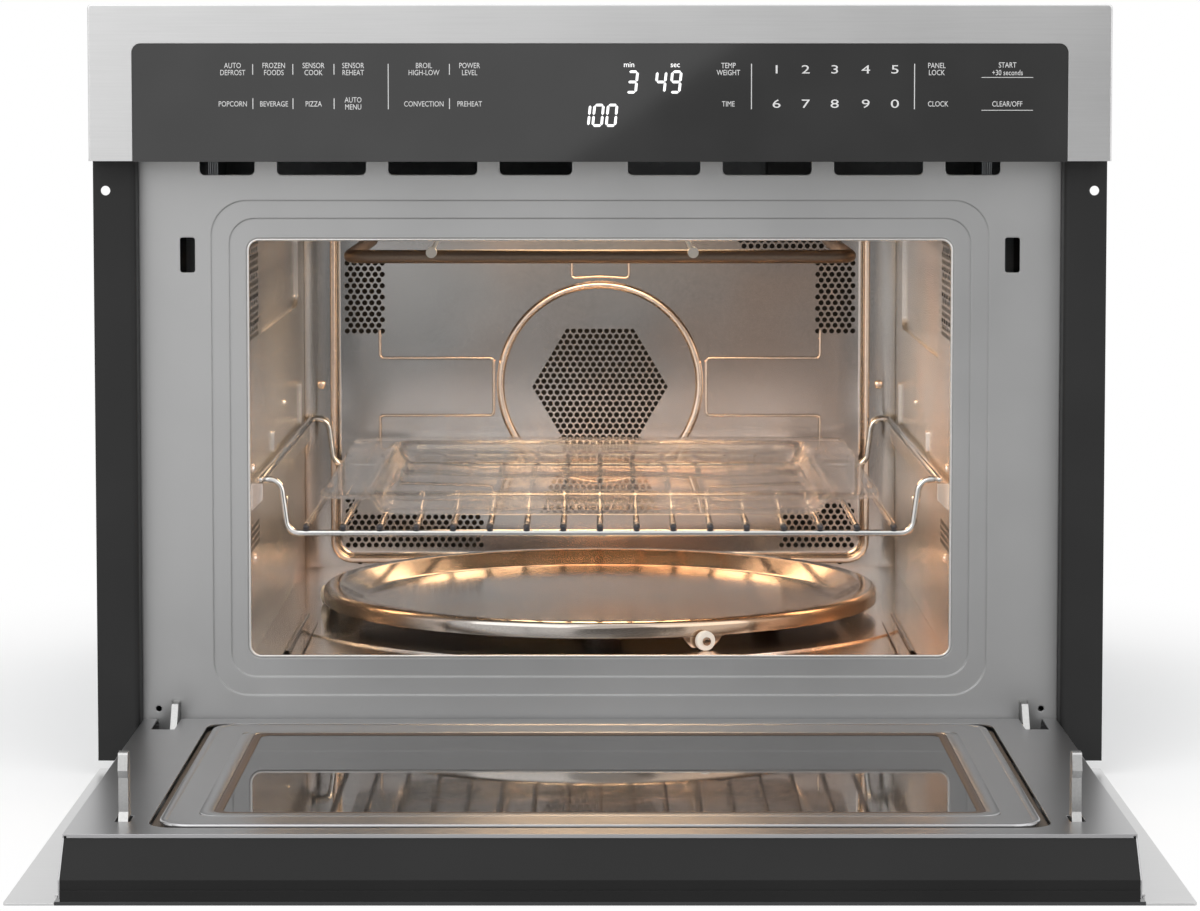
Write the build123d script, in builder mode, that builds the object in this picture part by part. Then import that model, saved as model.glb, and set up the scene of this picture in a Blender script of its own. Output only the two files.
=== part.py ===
"""Built-in combination microwave oven, door open flat.

Millimetres, +Z up, front towards -Y. The origin is the centre of the base's
underside. A depth is measured back from the front face of the mounting flanges.
"""
from build123d import *
from math import atan2, cos, degrees, pi, radians, sin, sqrt, tan
import os

os.makedirs("parts", exist_ok=True)

# Outside sizes
WIDTH = 595.0
HEIGHT = 455.0
CASE_DEPTH = 545.0
FRONT_OVERLAP = 22.5
CASE_TOP = 447.0
CASE_RADIUS = 4.0
PANEL_PROJECTION = 18.5

# Sheets and fits
SHEET = 1.0
THIN_SHEET = 0.8
SEAT = 0.1
SHAFT_GAP = 0.05
FREE_GAP = 0.5
SCREW_HOLE_RADIUS = 1.7
VENT_WIDTH = 4.0

# Front plate, which the cavity's mouth is in
PLATE_DEPTH = 15.0
PLATE_BOTTOM = 8.5
PLATE_TOP = 440.0
PLATE_RETURN = 15.0
STEP_DEPTH = 1.0
STEP_WIDTH = 460.2
STEP_BOTTOM = 45.0
STEP_TOP = 340.0
STEP_RADIUS = 21.0
INNER_STEP_WIDTH = 439.0
INNER_STEP_BOTTOM = 55.9
INNER_STEP_TOP = 329.4
INNER_STEP_RADIUS = 15.0
MOUTH_WIDTH = 418.0
MOUTH_BOTTOM = 67.7
MOUTH_TOP = 317.3
MOUTH_RADIUS = 7.0
MOUTH_LIP = 8.0

# Cavity
CAVITY_REAR = 452.0
WALL_BOTTOM = 55.0
WALL_TOP = 327.0
FLOOR_TOP = 64.0
PLATFORM_RISE = 1.0
PLATFORM_RADIUS = 206.0
PLATFORM_WIDTH = 375.0
CEILING_UNDERSIDE = 318.6
CEILING_RECESS = 10.0

# Turntable
TURNTABLE_DEPTH = 230.0
PAN_RADIUS = 180.0
PAN_TOP = 74.5
PAN_WELL_RADIUS = 141.0
PAN_SLOPE_RADIUS = 172.0
PAN_RIM_TOP = 83.6
PAN_SHEET = 1.2
ROLLER_RADIUS = 6.0
ROLLER_TRACK = 184.0
ROLLER_WIDTH = 4.0
ROLLER_FIRST_ANGLE = -69.7
ROLLER_COUNT = 3
SHAFT_RADIUS = 4.0

# Rack and dish
SHELF_TOP = 168.0
SHELF_REACH = 6.6
WIRE_RADIUS = 2.0
RACK_WIDTH = 410.0
RACK_FRONT = 52.0
RACK_REAR = 448.0
ROD_Z = 141.5
ROD_PITCH = 22.2
ROD_COUNT = 17
DISH_WIDTH = 342.0
DISH_FRONT = 60.0
DISH_REAR = 425.0
DISH_TOP = 160.0
DISH_WALL = 3.0

# Control panel
PANEL_BOTTOM = 364.0
PANEL_TOP_BAR = 22.7
PANEL_SIDE_BAR = 25.5
PANEL_GLASS = 4.0

# Door, open flat
HINGE_DEPTH = -6.2
HINGE_Z = 13.6
DOOR_REAR = 13.0
DOOR_REACH = 349.3
DOOR_OUTER = 12.3
DOOR_INNER = 20.0
DOOR_BODY_INSET = 2.0
DOOR_SKIN = 1.2
DOOR_GLASS = 1.9
WINDOW_WIDTH = 399.4
WINDOW_BOTTOM = 62.0
WINDOW_TOP = 294.5
GROOVE_WIDTH = 7.0
GROOVE_OUTER_WIDTH = 460.0
GROOVE_BOTTOM = 24.0
GROOVE_TOP = 329.0

# Latches, hinges and mounting holes
LATCH_INSET = 31.0
LATCH_FROM_HINGE = 291.0
LATCH_WIDTH = 12.0
LATCH_THICK = 5.0
LATCH_TALL = 34.6
LATCH_SLOT_BOTTOM = 297.4
LATCH_SLOT_TOP = 318.1
LATCH_SLOT_WIDTH = 8.8
HINGE_INSET = 22.4
HINGE_ARM = 4.0
HINGE_SLOT_BOTTOM = 30.0
HINGE_SLOT_TOP = 42.0
HINGE_SLOT_WIDTH = 5.0
HINGE_PIN_RADIUS = 2.5
FIXING_INSET = 7.3
FIXING_Z = 346.3
FIXING_RADIUS = 2.8

# Places that follow from the sizes above
FACE_Y = -CASE_DEPTH / 2
CASE_HALF = WIDTH / 2 - FRONT_OVERLAP
PLATE_BACK = PLATE_DEPTH + SHEET
FLANGE_SHEET = 1.2
FLANGE_INNER = CASE_HALF - SHEET - FLANGE_SHEET - 2 * SEAT
CAVITY_HALF = MOUTH_WIDTH / 2 + SHEET + SEAT
CAVITY_FRONT = PLATE_BACK + 2 * STEP_DEPTH + SEAT
HINGE_X = CASE_HALF - HINGE_INSET
LATCH_X = CASE_HALF - LATCH_INSET
FIXING_X = WIDTH / 2 - FIXING_INSET
SIDES = {"left": -1, "right": 1}


def back(depth):
    """Y of a depth behind the flanges' front face."""
    return FACE_Y + depth


def facing(depth):
    """Upright plane at a depth, X to the right and Z up; a negative extrusion runs back."""
    return Plane.XZ.offset(-back(depth))


def upright_box(x_range, z_range, depth_range, radius=0.0):
    """A block between two depths whose front view can have round corners."""
    with BuildSketch(facing(depth_range[0])) as outline:
        with Locations((sum(x_range) / 2, sum(z_range) / 2)):
            if radius:
                RectangleRounded(x_range[1] - x_range[0], z_range[1] - z_range[0], radius)
            else:
                Rectangle(x_range[1] - x_range[0], z_range[1] - z_range[0])
    return extrude(outline.sketch, amount=-(depth_range[1] - depth_range[0]), mode=Mode.PRIVATE)


def flat_box(x_range, depth_range, z_range, radius=0.0):
    """A block between two heights whose plan can have round corners."""
    with BuildSketch(Plane.XY.offset(z_range[0])) as outline:
        with Locations((sum(x_range) / 2, back(sum(depth_range) / 2))):
            if radius:
                RectangleRounded(x_range[1] - x_range[0], depth_range[1] - depth_range[0], radius)
            else:
                Rectangle(x_range[1] - x_range[0], depth_range[1] - depth_range[0])
    return extrude(outline.sketch, amount=z_range[1] - z_range[0], mode=Mode.PRIVATE)


def side_box(x_range, depth_range, z_range, radius=0.0):
    """A block between two X values whose side view can have round corners."""
    with BuildSketch(Plane.YZ.offset(x_range[0])) as outline:
        with Locations((back(sum(depth_range) / 2), sum(z_range) / 2)):
            if radius:
                RectangleRounded(depth_range[1] - depth_range[0], z_range[1] - z_range[0], radius)
            else:
                Rectangle(depth_range[1] - depth_range[0], z_range[1] - z_range[0])
    return extrude(outline.sketch, amount=x_range[1] - x_range[0], mode=Mode.PRIVATE)


def span(side, near, far):
    """The X range between two distances from the centre on one side, in rising order."""
    return tuple(sorted((side * near, side * far)))


def save(part, name):
    """Label a finished piece and write it."""
    part.label = name
    export_step(part, f"parts/{name}.step")


# Base pan with stamped ribs and air slots
BASE_FRONT = PLATE_BACK + SEAT
BASE_REAR = CASE_DEPTH - SHEET - SEAT
BASE_HALF = CASE_HALF - SHEET - SEAT
BASE_LIP = 20.0
BASE_SIDE_LIP_FRONT = 41.0
RIB_HEIGHT = 3.0
RIB_WIDTH = 14.0
RIB_SPACING = 130.0
with BuildPart() as base_pan:
    add(flat_box((-BASE_HALF, BASE_HALF), (BASE_FRONT, BASE_REAR), (0, SHEET)))
    with BuildSketch(Plane.XY):
        with Locations((0, back((BASE_FRONT + BASE_REAR) / 2))):
            with GridLocations(RIB_SPACING, 0, 4, 1):
                SlotOverall(BASE_REAR - BASE_FRONT - 120, RIB_WIDTH + 2 * SHEET, rotation=90)
    extrude(amount=RIB_HEIGHT + SHEET)
    with BuildSketch(Plane.XY):
        with Locations((0, back((BASE_FRONT + BASE_REAR) / 2))):
            with GridLocations(RIB_SPACING, 0, 4, 1):
                SlotOverall(BASE_REAR - BASE_FRONT - 120 - 2 * SHEET, RIB_WIDTH, rotation=90)
    extrude(amount=RIB_HEIGHT, mode=Mode.SUBTRACT)
    add(upright_box((-FLANGE_INNER, FLANGE_INNER), (0, BASE_LIP), (BASE_FRONT, BASE_FRONT + SHEET)))
    add(upright_box((-BASE_HALF, BASE_HALF), (0, BASE_LIP), (BASE_REAR - SHEET, BASE_REAR)))
    for side in SIDES.values():
        lip_x = span(side, BASE_HALF - SHEET, BASE_HALF)
        add(flat_box(lip_x, (BASE_SIDE_LIP_FRONT, BASE_REAR), (0, BASE_LIP)))
    with BuildSketch(Plane.XY):
        with Locations((0, back(CASE_DEPTH - 95))):
            with GridLocations(RIB_SPACING, 11, 3, 6):
                Rectangle(60, VENT_WIDTH)
    extrude(amount=SHEET, mode=Mode.SUBTRACT)
save(base_pan.part, "base_pan")

# Outer casing: one inverted U of sheet with air slots in its sides
CASING_BOTTOM = 2.0
VENT_LENGTH = 45.0
VENT_PITCH = 12.0
with BuildPart() as outer_casing:
    with BuildSketch(facing(BASE_FRONT + SHEET)):
        middle = CASE_HALF - SHEET / 2
        with BuildLine():
            FilletPolyline(
                (-middle, CASING_BOTTOM),
                (-middle, CASE_TOP - SHEET / 2),
                (middle, CASE_TOP - SHEET / 2),
                (middle, CASING_BOTTOM),
                radius=CASE_RADIUS,
            )
        trace(line_width=SHEET)
    extrude(amount=-(BASE_REAR - BASE_FRONT - SHEET))
    with BuildSketch(Plane.YZ):
        with Locations((back(CASE_DEPTH - 90), CASE_TOP - 90), (back(CASE_DEPTH - 90), 90)):
            with GridLocations(VENT_PITCH, 0, 6, 1):
                Rectangle(VENT_WIDTH, VENT_LENGTH)
    extrude(amount=CASE_HALF, both=True, mode=Mode.SUBTRACT)
save(outer_casing.part, "outer_casing")

# Rear panel with fan grille, gland hole and screws round its edge
GLAND_X = 205.0
GLAND_Z = 52.0
GLAND_NECK_RADIUS = 9.0
GRILLE_X = -150.0
GRILLE_Z = 250.0
GRILLE_PITCH = 8.0
SCREW_HEAD_RADIUS = 3.6
SCREW_HEAD = 2.2
with BuildPart() as rear_panel:
    add(upright_box((-CASE_HALF, CASE_HALF), (CASING_BOTTOM, CASE_TOP), (CASE_DEPTH - SHEET, CASE_DEPTH), 3))
    with BuildSketch(facing(CASE_DEPTH - SHEET)):
        with Locations((GLAND_X, GLAND_Z)):
            Circle(GLAND_NECK_RADIUS + SEAT)
        with Locations((GRILLE_X, GRILLE_Z)):
            with GridLocations(0, GRILLE_PITCH, 1, 9):
                Rectangle(110, VENT_WIDTH)
        with Locations((-GRILLE_X, GRILLE_Z)):
            with GridLocations(0, GRILLE_PITCH, 1, 9):
                Rectangle(110, VENT_WIDTH)
    extrude(amount=-SHEET, mode=Mode.SUBTRACT)
save(rear_panel.part, "rear_panel")

with BuildPart() as casing_screws:
    with BuildSketch(facing(CASE_DEPTH + SEAT)):
        for screw_z in (30.0, CASE_TOP / 2, CASE_TOP - 20.0):
            with Locations((-CASE_HALF + 12, screw_z), (CASE_HALF - 12, screw_z)):
                Circle(SCREW_HEAD_RADIUS)
    extrude(amount=-SCREW_HEAD, taper=18)
save(casing_screws.part, "casing_screws")

# Mounting flanges: an angle on each side, behind the trim and beside the mouth
FLANGE_BOTTOM = 8.3
FLANGE_REAR = 40.0
FLANGE_BEND = 2.5
for side_name, side in SIDES.items():
    bend_x = FLANGE_INNER + SEAT + FLANGE_SHEET / 2
    with BuildPart() as mounting_flange:
        with BuildSketch(Plane.XY.offset(FLANGE_BOTTOM)):
            with BuildLine():
                FilletPolyline(
                    (side * bend_x, back(FLANGE_REAR)),
                    (side * bend_x, back(FLANGE_SHEET / 2)),
                    (side * WIDTH / 2, back(FLANGE_SHEET / 2)),
                    radius=FLANGE_BEND,
                )
            trace(line_width=FLANGE_SHEET)
        extrude(amount=CASE_TOP - SHEET - CASE_RADIUS - FLANGE_BOTTOM)
        with BuildSketch(facing(0)):
            with Locations((side * FIXING_X, FIXING_Z)):
                Circle(FIXING_RADIUS)
        extrude(amount=-FLANGE_SHEET, mode=Mode.SUBTRACT)
    save(mounting_flange.part, f"mounting_flange_{side_name}")

# Front plate: stepped emboss round the mouth, slots for latches, hinges and air
PLATE_HALF = FLANGE_INNER
VENT_ROW_BOTTOM = 355.1
VENT_ROW_TOP = 366.0
VENT_ROW_START = 16.45
VENT_ROW_GAP = 13.2
VENT_ROW_WIDTHS = (42.8, 52.6, 52.6, 32.4)
SMALL_HOLE_X = HINGE_X + 10.5
SMALL_HOLE_Z = 36.9
with BuildPart() as front_plate:
    add(upright_box((-PLATE_HALF, PLATE_HALF), (PLATE_BOTTOM, PLATE_TOP), (PLATE_DEPTH, PLATE_BACK)))
    for level, (width, low, high, radius) in enumerate(
        (
            (STEP_WIDTH, STEP_BOTTOM, STEP_TOP, STEP_RADIUS),
            (INNER_STEP_WIDTH, INNER_STEP_BOTTOM, INNER_STEP_TOP, INNER_STEP_RADIUS),
        )
    ):
        floor_depth = PLATE_BACK + level * STEP_DEPTH
        half = width / 2
        add(
            upright_box(
                (-half - SHEET, half + SHEET),
                (low - SHEET, high + SHEET),
                (floor_depth - SHEET, floor_depth + STEP_DEPTH),
                radius + SHEET,
            )
        )
        pocket = upright_box(
            (-half, half), (low, high), (floor_depth - SHEET, floor_depth - SHEET + STEP_DEPTH), radius
        )
        add(pocket, mode=Mode.SUBTRACT)
    mouth_front = PLATE_DEPTH + 2 * STEP_DEPTH
    add(
        upright_box(
            (-MOUTH_WIDTH / 2 - SHEET, MOUTH_WIDTH / 2 + SHEET),
            (MOUTH_BOTTOM - SHEET, MOUTH_TOP + SHEET),
            (mouth_front, mouth_front + MOUTH_LIP),
            MOUTH_RADIUS + SHEET,
        )
    )
    add(
        upright_box(
            (-MOUTH_WIDTH / 2, MOUTH_WIDTH / 2),
            (MOUTH_BOTTOM, MOUTH_TOP),
            (mouth_front, mouth_front + MOUTH_LIP),
            MOUTH_RADIUS,
        ),
        mode=Mode.SUBTRACT,
    )
    mouth_edges = front_plate.edges().filter_by_position(
        Axis.Y, back(mouth_front) - 0.01, back(mouth_front) + 0.01
    )
    mouth_edges = mouth_edges.filter_by(
        lambda edge: abs(edge.center().X) <= MOUTH_WIDTH / 2 + 0.01
        and MOUTH_BOTTOM - 0.01 <= edge.center().Z <= MOUTH_TOP + 0.01
    )
    fillet(mouth_edges, 0.8 * SHEET)
    for side in SIDES.values():
        return_x = span(side, PLATE_HALF - SHEET, PLATE_HALF)
        add(upright_box(return_x, (BASE_LIP + 5, PLATE_TOP), (PLATE_BACK, PLATE_BACK + PLATE_RETURN)))
    with BuildSketch(facing(PLATE_DEPTH)):
        for side in SIDES.values():
            with Locations((side * LATCH_X, (LATCH_SLOT_BOTTOM + LATCH_SLOT_TOP) / 2)):
                RectangleRounded(LATCH_SLOT_WIDTH, LATCH_SLOT_TOP - LATCH_SLOT_BOTTOM, 1.5)
            with Locations((side * HINGE_X, (HINGE_SLOT_BOTTOM + HINGE_SLOT_TOP) / 2)):
                RectangleRounded(HINGE_SLOT_WIDTH, HINGE_SLOT_TOP - HINGE_SLOT_BOTTOM, 1)
            with Locations((side * SMALL_HOLE_X, SMALL_HOLE_Z)):
                Circle(SCREW_HOLE_RADIUS)
            vent_start = VENT_ROW_START
            for vent_width in VENT_ROW_WIDTHS:
                vent_middle = vent_start + vent_width / 2
                with Locations((side * vent_middle, (VENT_ROW_BOTTOM + VENT_ROW_TOP) / 2)):
                    RectangleRounded(vent_width, VENT_ROW_TOP - VENT_ROW_BOTTOM, 3)
                vent_start += vent_width + VENT_ROW_GAP
    extrude(amount=-SHEET, mode=Mode.SUBTRACT)
save(front_plate.part, "front_plate")

# Cavity side walls: rack shelf, stops, outward emboss, vent holes near the front
WALL_REAR = CAVITY_REAR - SEAT
WALL_OUTER = CAVITY_HALF + THIN_SHEET
SHELF_FRONT = 49.0
SHELF_REAR = 412.0
SHELF_SLOPE_BOTTOM = SHELF_TOP - 16.6
SHELF_SLOPE_TOP = SHELF_TOP - 10.0
SHELF_INNER = CAVITY_HALF - SHELF_REACH
STOP_REACH = 2.0
STOP_WIDTH = 6.0
STOPS = ((187.0, 5.0, 19.0), (405.0, 2.0, 32.0))
EMBOSS_REACH = 2.5
EMBOSS_FRONT = 118.0
EMBOSS_REAR = 400.0
EMBOSS_BOTTOM = {"left": 254.0, "right": 238.0}
EMBOSS_TOP = 306.0
STUD_RADIUS = 3.2
STUD_REACH = 1.0
STUDS = ((285.0, 196.0), (60.0, 176.0), (300.0, 130.0), (70.0, 120.0))
WALL_VENT_DEPTH = 65.0
WALL_VENT_Z = 285.0
WALL_VENT_RADIUS = 3.6
WALL_VENT_PITCH = 15.0
for side_name, side in SIDES.items():
    with BuildPart() as cavity_side:
        wall_x = span(side, CAVITY_HALF, WALL_OUTER)
        add(side_box(wall_x, (CAVITY_FRONT, WALL_REAR), (WALL_BOTTOM, WALL_TOP)))
        with BuildSketch(facing(SHELF_FRONT)):
            Polygon(
                (side * CAVITY_HALF, SHELF_SLOPE_BOTTOM),
                (side * SHELF_INNER, SHELF_SLOPE_TOP),
                (side * SHELF_INNER, SHELF_TOP),
                (side * CAVITY_HALF, SHELF_TOP),
                align=None,
            )
        extrude(amount=-(SHELF_REAR - SHELF_FRONT))
        with BuildSketch(facing(SHELF_FRONT + THIN_SHEET)):
            Polygon(
                (side * WALL_OUTER, SHELF_SLOPE_BOTTOM + THIN_SHEET / 2),
                (side * (SHELF_INNER + THIN_SHEET), SHELF_SLOPE_TOP + THIN_SHEET / 2),
                (side * (SHELF_INNER + THIN_SHEET), SHELF_TOP - THIN_SHEET),
                (side * WALL_OUTER, SHELF_TOP - THIN_SHEET),
                align=None,
            )
        extrude(amount=-(SHELF_REAR - SHELF_FRONT - 2 * THIN_SHEET), mode=Mode.SUBTRACT)
        for stop_depth, stop_low, stop_high in STOPS:
            add(
                side_box(
                    span(side, CAVITY_HALF - STOP_REACH, CAVITY_HALF),
                    (stop_depth - STOP_WIDTH / 2, stop_depth + STOP_WIDTH / 2),
                    (SHELF_TOP + stop_low, SHELF_TOP + stop_high),
                    STOP_WIDTH / 3,
                )
            )
        emboss_z = (EMBOSS_BOTTOM[side_name], EMBOSS_TOP)
        add(
            side_box(
                span(side, CAVITY_HALF, WALL_OUTER + EMBOSS_REACH),
                (EMBOSS_FRONT - THIN_SHEET, EMBOSS_REAR + THIN_SHEET),
                (emboss_z[0] - THIN_SHEET, emboss_z[1] + THIN_SHEET),
                8 + THIN_SHEET,
            )
        )
        add(
            side_box(
                span(side, CAVITY_HALF, CAVITY_HALF + EMBOSS_REACH), (EMBOSS_FRONT, EMBOSS_REAR), emboss_z, 8
            ),
            mode=Mode.SUBTRACT,
        )
        with BuildSketch(Plane.YZ.offset(side * CAVITY_HALF)):
            for stud_depth, stud_z in STUDS:
                with Locations((back(stud_depth), stud_z)):
                    Circle(STUD_RADIUS)
        extrude(amount=-side * STUD_REACH, taper=20)
        with BuildSketch(Plane.YZ.offset(side * CAVITY_HALF)):
            with Locations((back(WALL_VENT_DEPTH), WALL_VENT_Z)):
                with GridLocations(WALL_VENT_PITCH, WALL_VENT_PITCH, 5, 4):
                    RegularPolygon(WALL_VENT_RADIUS, 6)
        extrude(amount=side * THIN_SHEET, mode=Mode.SUBTRACT)
    save(cavity_side.part, f"cavity_side_{side_name}")

# Cavity floor: raised platform under the turntable and a collar round the shaft
FLOOR_HALF = CAVITY_HALF - SEAT
SHAFT_HOLE_RADIUS = 7.0
COLLAR_RISE = 3.0
PLATFORM_MARGIN = 3.0
with BuildPart() as cavity_floor:
    add(flat_box((-FLOOR_HALF, FLOOR_HALF), (CAVITY_FRONT, WALL_REAR), (FLOOR_TOP - THIN_SHEET, FLOOR_TOP)))
    for grow, mode in ((THIN_SHEET, Mode.ADD), (0.0, Mode.SUBTRACT)):
        with BuildSketch(Plane.XY.offset(FLOOR_TOP - THIN_SHEET)) as platform:
            with Locations((0, back(TURNTABLE_DEPTH))):
                Circle(PLATFORM_RADIUS + grow)
                Rectangle(PLATFORM_WIDTH + 2 * grow, 2.2 * PLATFORM_RADIUS, mode=Mode.INTERSECT)
            with Locations((0, back((CAVITY_FRONT + WALL_REAR) / 2))):
                platform_room = WALL_REAR - CAVITY_FRONT - 2 * PLATFORM_MARGIN + 2 * grow
                Rectangle(2 * FLOOR_HALF, platform_room, mode=Mode.INTERSECT)
            fillet(platform.vertices(), 12 + grow)
        rise = PLATFORM_RISE + (THIN_SHEET if grow else 0)
        extrude(amount=rise, mode=mode)
    platform_top = FLOOR_TOP + PLATFORM_RISE
    with BuildSketch(Plane.XY.offset(platform_top - THIN_SHEET)):
        with Locations((0, back(TURNTABLE_DEPTH))):
            Circle(SHAFT_HOLE_RADIUS + 2)
    extrude(amount=THIN_SHEET + COLLAR_RISE)
    with BuildSketch(Plane.XY.offset(platform_top - THIN_SHEET)):
        with Locations((0, back(TURNTABLE_DEPTH))):
            Circle(SHAFT_HOLE_RADIUS)
    extrude(amount=THIN_SHEET + COLLAR_RISE, mode=Mode.SUBTRACT)
    floor_lip_z = (FLOOR_TOP - THIN_SHEET, MOUTH_BOTTOM - SHEET - SEAT)
    lip_half = MOUTH_WIDTH / 2 - MOUTH_RADIUS
    add(flat_box((-lip_half, lip_half), (CAVITY_FRONT, CAVITY_FRONT + THIN_SHEET), floor_lip_z))
save(cavity_floor.part, "cavity_floor")

# Cavity ceiling: recess for the grill heater, holes for its legs and for the waveguide
RECESS_WIDTH = 370.0
RECESS_FRONT = 110.0
RECESS_REAR = 420.0
RECESS_RADIUS = 20.0
HEATER_HALF = 157.8
HEATER_RADIUS = 4.25
HEATER_FRONT = 155.0
HEATER_REAR = 400.0
HEATER_Z = 300.0
WAVEGUIDE_X = 60.0
WAVEGUIDE_DEPTH = 270.0
WAVEGUIDE_WIDTH = 90.0
WAVEGUIDE_LENGTH = 60.0
recess_top = CEILING_UNDERSIDE + CEILING_RECESS
with BuildPart() as cavity_ceiling:
    ceiling_z = (CEILING_UNDERSIDE, CEILING_UNDERSIDE + THIN_SHEET)
    add(flat_box((-FLOOR_HALF, FLOOR_HALF), (CAVITY_FRONT, WALL_REAR), ceiling_z))
    add(
        flat_box(
            (-RECESS_WIDTH / 2 - THIN_SHEET, RECESS_WIDTH / 2 + THIN_SHEET),
            (RECESS_FRONT - THIN_SHEET, RECESS_REAR + THIN_SHEET),
            (CEILING_UNDERSIDE, recess_top + THIN_SHEET),
            RECESS_RADIUS + THIN_SHEET,
        )
    )
    add(
        flat_box(
            (-RECESS_WIDTH / 2, RECESS_WIDTH / 2),
            (RECESS_FRONT, RECESS_REAR),
            (CEILING_UNDERSIDE, recess_top),
            RECESS_RADIUS,
        ),
        mode=Mode.SUBTRACT,
    )
    with BuildSketch(Plane.XY.offset(recess_top)):
        with Locations((-HEATER_HALF, back(HEATER_REAR)), (HEATER_HALF, back(HEATER_REAR))):
            Circle(HEATER_RADIUS + FREE_GAP)
        with Locations((WAVEGUIDE_X, back(WAVEGUIDE_DEPTH))):
            Rectangle(WAVEGUIDE_WIDTH - 10, WAVEGUIDE_LENGTH - 10)
    extrude(amount=THIN_SHEET, mode=Mode.SUBTRACT)
save(cavity_ceiling.part, "cavity_ceiling")

# Cavity back wall: recessed panel with an embossed ring and perforated fields
BACK_HALF = CAVITY_HALF + 8.0
PANEL_HALF = 186.4
PANEL_LOW = 72.0
PANEL_HIGH = 316.0
PANEL_RADIUS = 10.0
PANEL_RECESS = 4.0
FAN_Z = 194.6
RING_OUTER_RADIUS = 73.0
RING_INNER_RADIUS = 68.5
RING_RISE = 1.6
FIELD_Z = 192.6
FIELD_SIZE = 47.0
FIELD_PER_SIDE = 5
FIELD_HOLE_RADIUS = 3.6
CORNER_X = 150.0
CORNER_PITCH = 11.0
CORNER_HIGH_Z = 285.0
CORNER_LOW_Z = 92.0
BACK_STUD_X = 198.0
with BuildPart() as cavity_back:
    add(
        upright_box(
            (-BACK_HALF, BACK_HALF), (WALL_BOTTOM, WALL_TOP), (CAVITY_REAR, CAVITY_REAR + THIN_SHEET)
        )
    )
    panel_front = CAVITY_REAR + PANEL_RECESS
    add(
        upright_box(
            (-PANEL_HALF - THIN_SHEET, PANEL_HALF + THIN_SHEET),
            (PANEL_LOW - THIN_SHEET, PANEL_HIGH + THIN_SHEET),
            (CAVITY_REAR, panel_front + THIN_SHEET),
            PANEL_RADIUS + THIN_SHEET,
        )
    )
    add(
        upright_box(
            (-PANEL_HALF, PANEL_HALF), (PANEL_LOW, PANEL_HIGH), (CAVITY_REAR, panel_front), PANEL_RADIUS
        ),
        mode=Mode.SUBTRACT,
    )
    with BuildSketch(facing(panel_front)):
        with Locations((0, FAN_Z)):
            Circle(RING_OUTER_RADIUS)
            Circle(RING_INNER_RADIUS, mode=Mode.SUBTRACT)
    extrude(amount=RING_RISE, taper=30)
    with BuildSketch(facing(CAVITY_REAR)):
        with Locations((-BACK_STUD_X, FAN_Z), (BACK_STUD_X, FAN_Z)):
            Circle(STUD_RADIUS)
    extrude(amount=STUD_REACH, taper=20)
    with BuildSketch(facing(panel_front)):
        field_pitch = FIELD_SIZE / (FIELD_PER_SIDE - 1)
        for row in range(1 - FIELD_PER_SIDE, FIELD_PER_SIDE):
            holes_in_row = 2 * FIELD_PER_SIDE - 1 - abs(row)
            with Locations((0, FIELD_Z + row * field_pitch * sin(pi / 3))):
                with GridLocations(field_pitch, 0, holes_in_row, 1):
                    RegularPolygon(FIELD_HOLE_RADIUS, 6, rotation=30)
        for side in SIDES.values():
            with Locations((side * CORNER_X, CORNER_HIGH_Z), (side * CORNER_X, CORNER_LOW_Z)):
                with GridLocations(CORNER_PITCH, CORNER_PITCH, 4, 3):
                    RegularPolygon(FIELD_HOLE_RADIUS, 6, rotation=30)
    extrude(amount=-THIN_SHEET, mode=Mode.SUBTRACT)
save(cavity_back.part, "cavity_back")

# Convection fan behind the back wall: housing, ring heater, wheel and motor
HOUSING_FRONT = panel_front + THIN_SHEET + SEAT
HOUSING_REAR = 500.0
HOUSING_HALF = 110.0
HOUSING_RADIUS = 20.0
MOTOR_RADIUS = 33.0
MOTOR_LENGTH = 28.0
FAN_RADIUS = 66.0
FAN_FRONT = 462.0
FAN_DEPTH = 20.0
BLADE_COUNT = 10
RING_HEATER_RADIUS = 82.0
RING_TUBE_RADIUS = 3.25
with BuildPart() as convection_fan_housing:
    housing_z = (FAN_Z - HOUSING_HALF, FAN_Z + HOUSING_HALF)
    add(upright_box((-HOUSING_HALF, HOUSING_HALF), housing_z, (HOUSING_FRONT, HOUSING_REAR), HOUSING_RADIUS))
    add(
        upright_box(
            (-HOUSING_HALF + SHEET, HOUSING_HALF - SHEET),
            (housing_z[0] + SHEET, housing_z[1] - SHEET),
            (HOUSING_FRONT, HOUSING_REAR - SHEET),
            HOUSING_RADIUS - SHEET,
        ),
        mode=Mode.SUBTRACT,
    )
    with BuildSketch(facing(HOUSING_REAR - SHEET)):
        with Locations((0, FAN_Z)):
            Circle(SHAFT_RADIUS + FREE_GAP)
    extrude(amount=-SHEET, mode=Mode.SUBTRACT)
save(convection_fan_housing.part, "convection_fan_housing")

with BuildPart() as ring_heater:
    with BuildSketch(Plane.YZ):
        with Locations((back(FAN_FRONT + FAN_DEPTH / 2), FAN_Z + RING_HEATER_RADIUS)):
            RegularPolygon(RING_TUBE_RADIUS, 8)
    revolve(axis=Axis((0, 0, FAN_Z), (0, 1, 0)), revolution_arc=360)
save(ring_heater.part, "ring_heater")

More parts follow.
